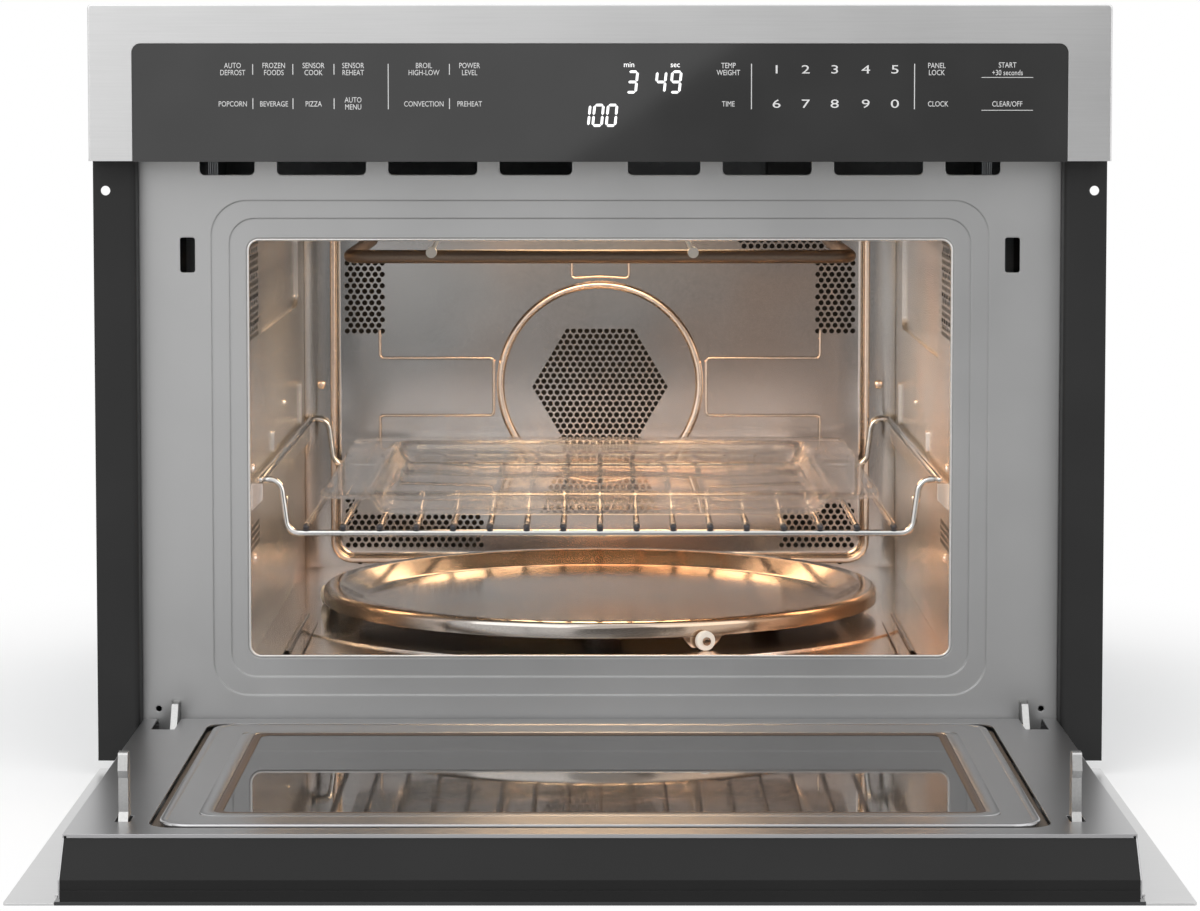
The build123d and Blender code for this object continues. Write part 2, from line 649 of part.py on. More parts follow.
with BuildPart() as convection_motor:
    motor_front = HOUSING_REAR + SEAT
    with BuildSketch(facing(motor_front)):
        with Locations((0, FAN_Z)):
            Circle(MOTOR_RADIUS)
    extrude(amount=-MOTOR_LENGTH)
    chamfer(convection_motor.edges().sort_by(Axis.Y)[-1], 4)
    with BuildSketch(facing(motor_front)):
        with Locations((0, FAN_Z)):
            with PolarLocations(MOTOR_RADIUS + 4, 3, 90):
                Circle(6)
            Circle(MOTOR_RADIUS - 4, mode=Mode.SUBTRACT)
    extrude(amount=-3)
    with BuildSketch(facing(motor_front)):
        with Locations((0, FAN_Z)):
            Circle(SHAFT_RADIUS + SHAFT_GAP)
    extrude(amount=-MOTOR_LENGTH + 6, mode=Mode.SUBTRACT)
save(convection_motor.part, "convection_motor")

# Fan wheel: dished disc, swept blades, hub and shaft
with BuildPart() as convection_fan:
    disc_depth = FAN_FRONT + FAN_DEPTH
    with BuildSketch(facing(disc_depth)):
        with Locations((0, FAN_Z)):
            Circle(FAN_RADIUS)
    extrude(amount=-SHEET)
    with BuildSketch(facing(FAN_FRONT)):
        for blade in range(BLADE_COUNT):
            start = 2 * pi * blade / BLADE_COUNT
            inner = (0.38 * FAN_RADIUS * cos(start), FAN_Z + 0.38 * FAN_RADIUS * sin(start))
            outer = (0.97 * FAN_RADIUS * cos(start + 0.5), FAN_Z + 0.97 * FAN_RADIUS * sin(start + 0.5))
            with BuildLine():
                blade_line = SagittaArc(inner, outer, 5)
            trace(blade_line, line_width=SHEET)
    extrude(amount=-FAN_DEPTH)
    with BuildSketch(facing(FAN_FRONT + 2)):
        with Locations((0, FAN_Z)):
            Circle(9)
    extrude(amount=-FAN_DEPTH)
    with BuildSketch(facing(FAN_FRONT - 1)):
        with Locations((0, FAN_Z)):
            Circle(SHAFT_RADIUS)
    extrude(amount=-(motor_front + MOTOR_LENGTH - 8 - FAN_FRONT + 1))
save(convection_fan.part, "convection_fan")

# Grill heater: one tube under the ceiling, up through it at the rear
HEATER_BEND = 14.0
HEATER_END_Z = recess_top + THIN_SHEET + 6
with BuildPart() as grill_heater:
    with BuildLine() as heater_path:
        FilletPolyline(
            (-HEATER_HALF, back(HEATER_REAR), HEATER_END_Z),
            (-HEATER_HALF, back(HEATER_REAR), HEATER_Z),
            (-HEATER_HALF, back(HEATER_FRONT), HEATER_Z),
            (HEATER_HALF, back(HEATER_FRONT), HEATER_Z),
            (HEATER_HALF, back(HEATER_REAR), HEATER_Z),
            (HEATER_HALF, back(HEATER_REAR), HEATER_END_Z),
            radius=HEATER_BEND,
        )
    with BuildSketch(Plane(heater_path.line @ 0, z_dir=heater_path.line % 0)):
        Circle(HEATER_RADIUS)
    sweep()
save(grill_heater.part, "grill_heater")

# Heater supports: a ceramic bead on a post that leans down from the ceiling
SUPPORTS = ((-105.7, 1), (58.4, -1))
SUPPORT_LEAN = 12.0
SUPPORT_RADIUS = 1.4
BEAD_RADIUS = 3.4
with BuildPart() as heater_supports:
    for support_x, lean in SUPPORTS:
        support_depth = HEATER_FRONT - HEATER_RADIUS - BEAD_RADIUS
        foot = Vector(support_x, back(support_depth), HEATER_Z + 3)
        head = Vector(support_x + lean * SUPPORT_LEAN, back(support_depth), recess_top - SEAT)
        with BuildSketch(Plane(foot, z_dir=head - foot)):
            Circle(SUPPORT_RADIUS)
        extrude(amount=(head - foot).length - 1)
        with BuildSketch(facing(support_depth - BEAD_RADIUS)):
            with Locations((support_x, HEATER_Z + 3)):
                Circle(BEAD_RADIUS)
        extrude(amount=-2 * BEAD_RADIUS + 2 * SEAT)
        with BuildSketch(Plane.XY.offset(recess_top - 1.5)):
            with Locations((support_x + lean * SUPPORT_LEAN, back(support_depth))):
                RectangleRounded(12, 8, 1.5)
        extrude(amount=1.5)
save(heater_supports.part, "heater_supports")

# Turntable motor under the floor, coupler and shaft through it
TURNTABLE_MOTOR_RADIUS = 25.0
TURNTABLE_MOTOR_BOTTOM = 34.0
TURNTABLE_MOTOR_TOP = FLOOR_TOP - THIN_SHEET - SEAT
with BuildPart() as turntable_motor:
    with BuildSketch(Plane.XY.offset(TURNTABLE_MOTOR_BOTTOM)):
        with Locations((0, back(TURNTABLE_DEPTH))):
            Circle(TURNTABLE_MOTOR_RADIUS)
    extrude(amount=TURNTABLE_MOTOR_TOP - TURNTABLE_MOTOR_BOTTOM)
    chamfer(turntable_motor.edges().group_by(Axis.Z)[0], 2)
    with BuildSketch(Plane.XY.offset(TURNTABLE_MOTOR_TOP)):
        with Locations((0, back(TURNTABLE_DEPTH))):
            SlotCenterToCenter(2 * TURNTABLE_MOTOR_RADIUS + 14, 14)
            with GridLocations(2 * TURNTABLE_MOTOR_RADIUS + 14, 0, 2, 1):
                Circle(2, mode=Mode.SUBTRACT)
    extrude(amount=-2)
    with BuildSketch(Plane.XY.offset(TURNTABLE_MOTOR_TOP)):
        with Locations((0, back(TURNTABLE_DEPTH))):
            Circle(SHAFT_RADIUS + SHAFT_GAP)
    extrude(amount=-20, mode=Mode.SUBTRACT)
save(turntable_motor.part, "turntable_motor")

COUPLER_TOP = PAN_TOP - PAN_SHEET - SEAT
COUPLER_RADIUS = 14.0
with BuildPart() as drive_coupler:
    with BuildSketch(Plane.XY.offset(TURNTABLE_MOTOR_TOP - 16)):
        with Locations((0, back(TURNTABLE_DEPTH))):
            Circle(SHAFT_RADIUS)
    extrude(amount=COUPLER_TOP - TURNTABLE_MOTOR_TOP + 16)
    with BuildSketch(Plane.XY.offset(COUPLER_TOP)):
        with Locations((0, back(TURNTABLE_DEPTH))):
            Circle(SHAFT_RADIUS + 3)
            with PolarLocations(COUPLER_RADIUS / 2, 3):
                Rectangle(COUPLER_RADIUS, 7)
    extrude(amount=-(COUPLER_TOP - platform_top - COLLAR_RISE - FREE_GAP))
    fillet(drive_coupler.edges().group_by(Axis.Z)[-1], 1)
save(drive_coupler.part, "drive_coupler")

# Turntable pan: pressed sheet with a rim, a drive socket and a tab for each roller
ROLLER_Z = platform_top + ROLLER_RADIUS + 2 * SEAT
PIN_RADIUS = 1.5
PIN_END = ROLLER_TRACK + ROLLER_WIDTH / 2 + 1.2
TAB_TOP_WIDTH = 26.0
TAB_BOTTOM_WIDTH = 14.0
SKIRT_BOTTOM = 73.6
TAB_BOTTOM = ROLLER_Z - 4.6
SOCKET_DEPTH = 3.0
roller_angles = [ROLLER_FIRST_ANGLE + 360.0 / ROLLER_COUNT * number for number in range(ROLLER_COUNT)]


def roller_plane(angle, radius):
    """Plane square to the radial direction at the roller's height, X along the track."""
    radial = Vector(cos(radians(angle)), sin(radians(angle)), 0)
    tangent = Vector(-sin(radians(angle)), cos(radians(angle)), 0)
    centre = Vector(0, back(TURNTABLE_DEPTH), ROLLER_Z) + radial * radius
    return Plane(centre, x_dir=tangent, z_dir=radial)


PAN_EASE = 2.5
RIM_EASE = 1.0
with BuildPart() as turntable_pan:
    with BuildSketch(Plane.XZ.offset(-back(TURNTABLE_DEPTH))) as pan_section:
        with BuildLine() as pan_line:
            half_sheet = PAN_SHEET / 2
            well_z = PAN_TOP - half_sheet
            rim_z = PAN_RIM_TOP - half_sheet
            ease_z = PAN_EASE * (rim_z - well_z) / (PAN_SLOPE_RADIUS - PAN_WELL_RADIUS)
            Polyline(
                (0, well_z),
                (PAN_WELL_RADIUS - PAN_EASE, well_z),
                (PAN_WELL_RADIUS + PAN_EASE, well_z + ease_z),
                (PAN_SLOPE_RADIUS - PAN_EASE, rim_z - ease_z),
                (PAN_SLOPE_RADIUS + PAN_EASE, rim_z),
                (PAN_RADIUS - half_sheet - RIM_EASE, rim_z),
                (PAN_RADIUS - half_sheet, rim_z - RIM_EASE),
                (PAN_RADIUS - half_sheet, SKIRT_BOTTOM),
            )
        trace(line_width=PAN_SHEET)
        Rectangle(PAN_RADIUS, PAN_RIM_TOP, align=(Align.MIN, Align.MIN), mode=Mode.INTERSECT)
    revolve(axis=Axis((0, back(TURNTABLE_DEPTH), 0), (0, 0, 1)))
    with BuildSketch(Plane.XY.offset(PAN_TOP - PAN_SHEET)):
        with Locations((0, back(TURNTABLE_DEPTH))):
            Circle(COUPLER_RADIUS + 4)
            Circle(SHAFT_RADIUS + 3 + FREE_GAP, mode=Mode.SUBTRACT)
            with PolarLocations(COUPLER_RADIUS / 2, 3):
                Rectangle(COUPLER_RADIUS + 2 * FREE_GAP, 7 + 2 * FREE_GAP, mode=Mode.SUBTRACT)
    extrude(amount=-SOCKET_DEPTH)
    for angle in roller_angles:
        with BuildSketch(roller_plane(angle, PAN_RADIUS - 0.5)):
            tab_top = SKIRT_BOTTOM + 2 - ROLLER_Z
            Polygon(
                (-TAB_TOP_WIDTH / 2, tab_top),
                (TAB_TOP_WIDTH / 2, tab_top),
                (TAB_BOTTOM_WIDTH / 2, TAB_BOTTOM - ROLLER_Z),
                (-TAB_BOTTOM_WIDTH / 2, TAB_BOTTOM - ROLLER_Z),
                align=None,
            )
        extrude(amount=-PAN_SHEET)
        with BuildSketch(roller_plane(angle, PAN_RADIUS - 1)):
            Circle(PIN_RADIUS)
        extrude(amount=PIN_END - PAN_RADIUS + 1)
        with BuildSketch(roller_plane(angle, PIN_END - 0.8)):
            Circle(PIN_RADIUS + 1.1)
        extrude(amount=0.8)
save(turntable_pan.part, "turntable_pan")

for number, angle in enumerate(roller_angles, start=1):
    with BuildPart() as roller:
        with BuildSketch(roller_plane(angle, ROLLER_TRACK - ROLLER_WIDTH / 2)):
            Circle(ROLLER_RADIUS)
            Circle(PIN_RADIUS + SHAFT_GAP, mode=Mode.SUBTRACT)
        extrude(amount=ROLLER_WIDTH)
        chamfer(roller.edges().filter_by(GeomType.CIRCLE).sort_by(SortBy.RADIUS)[-2:], 0.6)
    save(roller.part, f"roller_{number}")

# Wire rack: side rails on the shelves, dropped front and rear wires, rods along it
RACK_HALF = RACK_WIDTH / 2
RAIL_Z = SHELF_TOP + WIRE_RADIUS + 0.3
CROSS_Z = ROD_Z - 2 * WIRE_RADIUS + 0.3
CROSS_DROP_HALF = 188.7
CROSS_TURN_HALF = 193.0
with BuildPart() as rack_frame:
    for wire_depth in (RACK_FRONT, RACK_REAR):
        with BuildLine() as cross_path:
            FilletPolyline(
                (-RACK_HALF, back(wire_depth), RAIL_Z),
                (-CROSS_TURN_HALF, back(wire_depth), RAIL_Z),
                (-CROSS_DROP_HALF, back(wire_depth), CROSS_Z),
                (CROSS_DROP_HALF, back(wire_depth), CROSS_Z),
                (CROSS_TURN_HALF, back(wire_depth), RAIL_Z),
                (RACK_HALF, back(wire_depth), RAIL_Z),
                radius=8,
            )
        with BuildSketch(Plane(cross_path.line @ 0, z_dir=cross_path.line % 0)):
            Circle(WIRE_RADIUS)
        sweep()
        with Locations((-RACK_HALF, back(wire_depth), RAIL_Z), (RACK_HALF, back(wire_depth), RAIL_Z)):
            Sphere(WIRE_RADIUS)
    with BuildSketch(facing(RACK_FRONT)):
        with Locations((-RACK_HALF, RAIL_Z), (RACK_HALF, RAIL_Z)):
            Circle(WIRE_RADIUS)
    extrude(amount=-(RACK_REAR - RACK_FRONT))
save(rack_frame.part, "rack_frame")

with BuildPart() as rack_rods:
    with BuildSketch(facing(RACK_FRONT - WIRE_RADIUS)):
        with Locations((0, ROD_Z)):
            with GridLocations(ROD_PITCH, 0, ROD_COUNT, 1):
                Circle(WIRE_RADIUS)
    extrude(amount=-(RACK_REAR - RACK_FRONT + 2 * WIRE_RADIUS))
save(rack_rods.part, "rack_rods")

# Glass dish: drawn bowl with a wide flat flange
DISH_BOTTOM = ROD_Z + WIRE_RADIUS + 0.3
DISH_OPENING_HALF = 142.0
DISH_BASE_HALF = 134.0
DISH_FLANGE_REACH = 24.0
DISH_RADIUS = 20.0
dish_middle = (DISH_FRONT + DISH_REAR) / 2
dish_opening_depth = DISH_REAR - DISH_FRONT - 2 * DISH_FLANGE_REACH
dish_lean = DISH_OPENING_HALF - DISH_BASE_HALF
with BuildPart() as glass_dish:
    add(
        flat_box(
            (-DISH_WIDTH / 2, DISH_WIDTH / 2),
            (DISH_FRONT, DISH_REAR),
            (DISH_TOP - DISH_WALL, DISH_TOP),
            DISH_RADIUS,
        )
    )
    fillet(glass_dish.edges().filter_by(Plane.XY), DISH_WALL / 2 - 0.1)
    for grow, floor_z, mode in ((DISH_WALL, DISH_BOTTOM, Mode.ADD), (0, DISH_BOTTOM + DISH_WALL, Mode.SUBTRACT)):
        with BuildSketch(Plane.XY.offset(floor_z)):
            with Locations((0, back(dish_middle))):
                RectangleRounded(
                    2 * (DISH_BASE_HALF + grow), dish_opening_depth - 2 * dish_lean + 2 * grow, 14 + grow
                )
        with BuildSketch(Plane.XY.offset(DISH_TOP)):
            with Locations((0, back(dish_middle))):
                RectangleRounded(2 * (DISH_OPENING_HALF + grow), dish_opening_depth + 2 * grow, 22 + grow)
        loft(mode=mode)
save(glass_dish.part, "glass_dish")

# Control panel: trim folded as an inverted U, glass set into it, carrier behind
TRIM_FRONT = -PANEL_PROJECTION
TRIM_REAR = -SEAT
TRIM_SHEET = 1.2
TRIM_RADIUS = 2.5
GLASS_HALF = WIDTH / 2 - PANEL_SIDE_BAR
GLASS_TOP = HEIGHT - PANEL_TOP_BAR
GLASS_RADIUS = 5.5
GLASS_FRONT = TRIM_FRONT + 0.4
GLASS_BOTTOM = PANEL_BOTTOM - 0.4
with BuildPart() as panel_trim:
    add(upright_box((-WIDTH / 2, WIDTH / 2), (PANEL_BOTTOM, HEIGHT), (TRIM_FRONT, TRIM_REAR)))
    outer_edges = panel_trim.edges().filter_by(Axis.Y).sort_by(Axis.Z)[-2:]
    fillet(outer_edges, TRIM_RADIUS)
    front_edges = panel_trim.faces().sort_by(Axis.Y)[0].edges().sort_by(Axis.Z)[1:]
    fillet(front_edges, 1.0)
    add(
        upright_box(
            (-WIDTH / 2 + TRIM_SHEET, WIDTH / 2 - TRIM_SHEET),
            (PANEL_BOTTOM, HEIGHT - TRIM_SHEET),
            (TRIM_FRONT + TRIM_SHEET, TRIM_REAR),
        ),
        mode=Mode.SUBTRACT,
    )
    trim_lip = (TRIM_FRONT, TRIM_FRONT + PANEL_GLASS)
    add(
        upright_box(
            (-GLASS_HALF - TRIM_SHEET, GLASS_HALF + TRIM_SHEET),
            (PANEL_BOTTOM, GLASS_TOP + TRIM_SHEET),
            (TRIM_FRONT + TRIM_SHEET, TRIM_FRONT + PANEL_GLASS),
        )
    )
    add(
        upright_box(
            (-GLASS_HALF, GLASS_HALF), (PANEL_BOTTOM - 2 * GLASS_RADIUS, GLASS_TOP), trim_lip, GLASS_RADIUS
        ),
        mode=Mode.SUBTRACT,
    )
    for side in SIDES.values():
        foot_x = span(side, GLASS_HALF + TRIM_SHEET + 2, WIDTH / 2)
        foot_z = (PANEL_BOTTOM, PANEL_BOTTOM + TRIM_SHEET)
        add(upright_box(foot_x, foot_z, (TRIM_FRONT + TRIM_SHEET / 2, TRIM_REAR)))
save(panel_trim.part, "panel_trim")

with BuildPart() as touch_glass:
    glass_x = (-GLASS_HALF + SEAT, GLASS_HALF - SEAT)
    glass_depth = (GLASS_FRONT, GLASS_FRONT + PANEL_GLASS)
    add(upright_box(glass_x, (GLASS_BOTTOM, GLASS_TOP - SEAT), glass_depth))
    fillet(touch_glass.edges().filter_by(Axis.Y).sort_by(Axis.Z)[-2:], GLASS_RADIUS)
save(touch_glass.part, "touch_glass")

# Moulded carrier behind the glass: open at the rear, with a pocket for the display
CARRIER_HALF = GLASS_HALF - 4.0
CARRIER_BOTTOM = PANEL_BOTTOM + 4.0
CARRIER_TOP = GLASS_TOP + 4.0
CARRIER_WALL = 2.0
DISPLAY_HALF = 60.0
DISPLAY_BOTTOM = 388.0
DISPLAY_TOP = 424.0
DISPLAY_THICK = 6.0
BOARD_DEPTH = -2.0
BOARD_SHEET = 1.6
RIB_OUTER_INSET = 68.0
RIB_INNER_GAP = 60.0
KEY_DRIVERS_X = 90.0
CAPACITORS_X = -20.0
BOARD_RELAY_X = 30.0
carrier_front = GLASS_FRONT + PANEL_GLASS + SEAT
carrier_rear = PLATE_DEPTH - SEAT
with BuildPart() as panel_carrier:
    carrier_z = (CARRIER_BOTTOM, CARRIER_TOP)
    add(upright_box((-CARRIER_HALF, CARRIER_HALF), carrier_z, (carrier_front, carrier_rear), 3))
    add(
        upright_box(
            (-CARRIER_HALF + CARRIER_WALL, CARRIER_HALF - CARRIER_WALL),
            (CARRIER_BOTTOM + CARRIER_WALL, CARRIER_TOP - CARRIER_WALL),
            (carrier_front + CARRIER_WALL, carrier_rear),
            1,
        ),
        mode=Mode.SUBTRACT,
    )
    rib_outer = CARRIER_HALF - RIB_OUTER_INSET
    rib_inner = DISPLAY_HALF + RIB_INNER_GAP
    for rib_x in (-rib_outer, -rib_inner, rib_inner, rib_outer):
        rib_z = (CARRIER_BOTTOM, CARRIER_TOP)
        add(
            upright_box(
                (rib_x - CARRIER_WALL / 2, rib_x + CARRIER_WALL / 2), rib_z, (carrier_front, BOARD_DEPTH - SEAT)
            )
        )
    add(
        upright_box(
            (-DISPLAY_HALF - SEAT, DISPLAY_HALF + SEAT),
            (DISPLAY_BOTTOM - SEAT, DISPLAY_TOP + SEAT),
            (carrier_front, carrier_front + DISPLAY_THICK),
        ),
        mode=Mode.SUBTRACT,
    )
save(panel_carrier.part, "panel_carrier")

with BuildPart() as display_module:
    add(
        upright_box(
            (-DISPLAY_HALF, DISPLAY_HALF),
            (DISPLAY_BOTTOM, DISPLAY_TOP),
            (carrier_front, carrier_front + DISPLAY_THICK),
            1,
        )
    )
save(display_module.part, "display_module")

with BuildPart() as control_board:
    board_half = CARRIER_HALF - CARRIER_WALL - FREE_GAP
    board_z = (CARRIER_BOTTOM + CARRIER_WALL + FREE_GAP, CARRIER_TOP - CARRIER_WALL - FREE_GAP)
    add(upright_box((-board_half, board_half), board_z, (BOARD_DEPTH, BOARD_DEPTH + BOARD_SHEET), 1))
    board_face = BOARD_DEPTH + BOARD_SHEET
    board_middle = sum(board_z) / 2
    with BuildSketch(facing(board_face)):
        with Locations((DISPLAY_HALF + KEY_DRIVERS_X, board_middle)):
            with GridLocations(24, 0, 4, 1):
                Rectangle(15, 20)
    extrude(amount=-13)
    with BuildSketch(facing(board_face)):
        with Locations((CAPACITORS_X - DISPLAY_HALF, board_middle)):
            with GridLocations(30, 0, 3, 1):
                Circle(6)
        with Locations((BOARD_RELAY_X, board_middle)):
            Rectangle(34, 30)
    extrude(amount=-10)
save(control_board.part, "control_board")

# Door, drawn open flat: a reach is measured from the hinge axis to the free edge
DOOR_LOW = HINGE_Z - DOOR_OUTER
DOOR_HIGH = HINGE_Z + DOOR_INNER
DOOR_BAR = 12.0
DOOR_STEP_INNER = GLASS_HALF - 10.0
BODY_BOTTOM = DOOR_LOW + DOOR_GLASS + SHEET + 2 * SEAT
BODY_TOP = DOOR_HIGH - SHEET - SEAT
BODY_HALF = GLASS_HALF - DOOR_BODY_INSET
SLOPE_BOTTOM = 14.0
SLOPE_TOP = 31.5
SLOPE_RUN = SLOPE_TOP - SLOPE_BOTTOM
INNER_REACH = DOOR_REACH - SLOPE_RUN - 0.4
BAND_TOP = 8.7
NOTCH_INNER = HINGE_X - 4.6
NOTCH_OUTER = HINGE_X + 9.4
NOTCH_REACH = 31.0
LATCH_PIVOT_Z = 20.0
LATCH_PIVOT_RADIUS = 2.0

# The heel under the mouth is bevelled, so it turns past the front plate
HEEL_CLEARANCE = PLATE_DEPTH - HINGE_DEPTH - FREE_GAP
HEEL_REACH = -sqrt(HEEL_CLEARANCE**2 - DOOR_INNER**2)
HEEL_Z = HINGE_Z + sqrt(HEEL_CLEARANCE**2 - DOOR_REAR**2)


def door_box(x_range, reach_range, z_range, radius=0.0):
    """A block of the open door between two reaches and two heights."""
    depth_range = (HINGE_DEPTH - reach_range[1], HINGE_DEPTH - reach_range[0])
    return flat_box(x_range, depth_range, z_range, radius)


def door_ring(half_width, reach_range, z_range, radius, ring):
    """A flat ring of the door, given by its outer outline and its width."""
    outer = door_box((-half_width, half_width), reach_range, z_range, radius)
    inner_half = half_width - ring
    inner_reach = (reach_range[0] + ring, reach_range[1] - ring)
    return outer - door_box((-inner_half, inner_half), inner_reach, z_range, max(radius - ring, 1.0))


def side_profile(x_range, points):
    """A prism across the door from points given as reach and height."""
    with BuildSketch(Plane.YZ.offset(x_range[0])) as outline:
        Polygon(*[(back(HINGE_DEPTH - reach), z) for reach, z in points], align=None)
    return extrude(outline.sketch, amount=x_range[1] - x_range[0], mode=Mode.PRIVATE)


with BuildPart() as door_outer_frame:
    frame_z = (DOOR_LOW, DOOR_LOW + DOOR_SKIN)
    add(door_box((-WIDTH / 2, WIDTH / 2), (-DOOR_REAR, DOOR_REACH), frame_z, 2))
    pane_cut = door_box((-GLASS_HALF, GLASS_HALF), (DOOR_BAR, DOOR_REACH + 1), frame_z)
    add(pane_cut, mode=Mode.SUBTRACT)
    step_z = (DOOR_LOW + DOOR_GLASS + SEAT, DOOR_LOW + DOOR_GLASS + SEAT + SHEET)
    step_reach = (-DOOR_REAR + 1, DOOR_REACH - 12)
    for side in SIDES.values():
        riser_x = span(side, GLASS_HALF, GLASS_HALF + DOOR_SKIN)
        add(door_box(riser_x, step_reach, (DOOR_LOW, step_z[1])))
        add(door_box(span(side, DOOR_STEP_INNER, GLASS_HALF + DOOR_SKIN), step_reach, step_z))
    bar_riser = (DOOR_BAR - DOOR_SKIN, DOOR_BAR)
    add(door_box((-GLASS_HALF, GLASS_HALF), bar_riser, (DOOR_LOW, step_z[1])))
    add(door_box((-GLASS_HALF, GLASS_HALF), (DOOR_BAR - DOOR_SKIN, DOOR_BAR + 10), step_z))
save(door_outer_frame.part, "door_outer_frame")

with BuildPart() as door_outer_glass:
    pane_x = (-GLASS_HALF + SEAT, GLASS_HALF - SEAT)
    pane_reach = (DOOR_BAR + SEAT, DOOR_REACH)
    add(door_box(pane_x, pane_reach, (DOOR_LOW, DOOR_LOW + DOOR_GLASS)))
save(door_outer_glass.part, "door_outer_glass")

# Door body: thin box whose sides follow the sloped free edge, ears for the latch pins
window_half = WINDOW_WIDTH / 2
window_reach = (WINDOW_BOTTOM - HINGE_Z, WINDOW_TOP - HINGE_Z)
body_end = DOOR_REACH - 0.5
with BuildPart() as door_body:
    add(door_box((-BODY_HALF, BODY_HALF), (-DOOR_REAR, body_end - 10), (BODY_BOTTOM, BODY_BOTTOM + THIN_SHEET)))
    add(
        door_box(
            (-BODY_HALF, BODY_HALF), (-DOOR_REAR, -DOOR_REAR + THIN_SHEET), (BODY_BOTTOM, HEEL_Z - SHEET - SEAT)
        )
    )
    for side in SIDES.values():
        side_points = (
            (-DOOR_REAR, BODY_BOTTOM),
            (body_end, BODY_BOTTOM),
            (body_end, SLOPE_BOTTOM),
            (INNER_REACH, SLOPE_TOP),
            (INNER_REACH, BODY_TOP),
            (HEEL_REACH, BODY_TOP),
            (-DOOR_REAR, HEEL_Z - SHEET - SEAT),
        )
        add(side_profile(span(side, BODY_HALF - THIN_SHEET, BODY_HALF), side_points))
        notch_x = span(side, NOTCH_INNER, NOTCH_OUTER)
        notch_z = (BODY_BOTTOM + THIN_SHEET, BODY_TOP)
        add(door_box(notch_x, (-DOOR_REAR, 0), notch_z), mode=Mode.SUBTRACT)
        for ear_x in (LATCH_X - LATCH_THICK / 2 - 3, LATCH_X + LATCH_THICK / 2 + 1.5):
            ear_reach = (LATCH_FROM_HINGE - 5, LATCH_FROM_HINGE + 5)
            add(door_box(span(side, ear_x, ear_x + 1.5), ear_reach, (BODY_BOTTOM, LATCH_PIVOT_Z + 5)))
        with BuildSketch(Plane.YZ.offset(side * (LATCH_X - LATCH_THICK / 2 - 3))):
            with Locations((back(HINGE_DEPTH - LATCH_FROM_HINGE), LATCH_PIVOT_Z)):
                Circle(LATCH_PIVOT_RADIUS)
        extrude(amount=side * (LATCH_THICK + 6))
    base_opening = door_box(
        (-window_half - 8, window_half + 8),
        (window_reach[0] - 8, window_reach[1] + 8),
        (BODY_BOTTOM, BODY_BOTTOM + THIN_SHEET),
        12,
    )
    add(base_opening, mode=Mode.SUBTRACT)
save(door_body.part, "door_body")

# Cap on the free edge: two upright bands, then a slope back to the inner panel
CAP_WALL = 2.0
with BuildPart() as door_top_cap:
    cap_x = (-BODY_HALF + THIN_SHEET + SEAT, BODY_HALF - THIN_SHEET - SEAT)
    cap_low = DOOR_LOW + DOOR_GLASS + SEAT
    cap_outer = (
        (body_end - 9, cap_low),
        (DOOR_REACH, cap_low),
        (DOOR_REACH, BAND_TOP),
        (DOOR_REACH - 0.6, BAND_TOP),
        (DOOR_REACH - 0.6, SLOPE_BOTTOM),
        (INNER_REACH, SLOPE_TOP),
        (INNER_REACH - 6, SLOPE_TOP),
        (INNER_REACH - 6, SLOPE_TOP - CAP_WALL),
        (INNER_REACH - 0.6, SLOPE_TOP - CAP_WALL),
        (DOOR_REACH - 0.6 - CAP_WALL, SLOPE_BOTTOM - 0.8),
        (DOOR_REACH - 0.6 - CAP_WALL, cap_low + CAP_WALL),
        (body_end - 9, cap_low + CAP_WALL),
    )
    add(side_profile(cap_x, cap_outer))
save(door_top_cap.part, "door_top_cap")

# Inner side of the door: border panel, choke ring, raised plate, window and screen
groove_half = GROOVE_OUTER_WIDTH / 2
groove_reach = (GROOVE_BOTTOM - HINGE_Z, GROOVE_TOP - HINGE_Z)
GROOVE_RADIUS = 14.0
PLATE_PROUD = 0.5
SEAL_WIDTH = 7.0
SEAL_RADIUS = 8.0
panel_z = (DOOR_HIGH - SHEET, DOOR_HIGH)
with BuildPart() as door_inner_panel:
    add(door_box((-BODY_HALF, BODY_HALF), (HEEL_REACH, INNER_REACH), panel_z))
    heel_points = (
        (HEEL_REACH, DOOR_HIGH),
        (-DOOR_REAR, HEEL_Z),
        (-DOOR_REAR, HEEL_Z - SHEET),
        (HEEL_REACH, DOOR_HIGH - SHEET),
    )
    add(side_profile((-BODY_HALF, BODY_HALF), heel_points))
    rim_z = (SLOPE_TOP + SEAT, DOOR_HIGH)
    add(door_box((-BODY_HALF + 2, BODY_HALF - 2), (INNER_REACH - SHEET, INNER_REACH), rim_z))
    groove_cut = door_box((-groove_half, groove_half), groove_reach, panel_z, GROOVE_RADIUS)
    add(groove_cut, mode=Mode.SUBTRACT)
    for side in SIDES.values():
        notch_z = (HEEL_Z - 2 * SHEET, DOOR_HIGH)
        notch = door_box(span(side, NOTCH_INNER, NOTCH_OUTER), (-DOOR_REAR, NOTCH_REACH), notch_z)
        add(notch, mode=Mode.SUBTRACT)
        slot_x = span(side, LATCH_X - LATCH_THICK / 2 - 1.5, LATCH_X + LATCH_THICK / 2 + 1.5)
        slot_reach = (LATCH_FROM_HINGE - LATCH_WIDTH / 2 - 1.5, LATCH_FROM_HINGE + LATCH_WIDTH / 2 + 3)
        add(door_box(slot_x, slot_reach, panel_z), mode=Mode.SUBTRACT)
save(door_inner_panel.part, "door_inner_panel")

CHOKE_BOTTOM = 20.0
CHOKE_TOP = 30.5
with BuildPart() as door_choke_ring:
    ring_reach = (groove_reach[0] + SEAT, groove_reach[1] - SEAT)
    choke_z = (CHOKE_BOTTOM, CHOKE_TOP)
    add(door_ring(groove_half - SEAT, ring_reach, choke_z, GROOVE_RADIUS, GROOVE_WIDTH - 2 * SEAT))
save(door_choke_ring.part, "door_choke_ring")

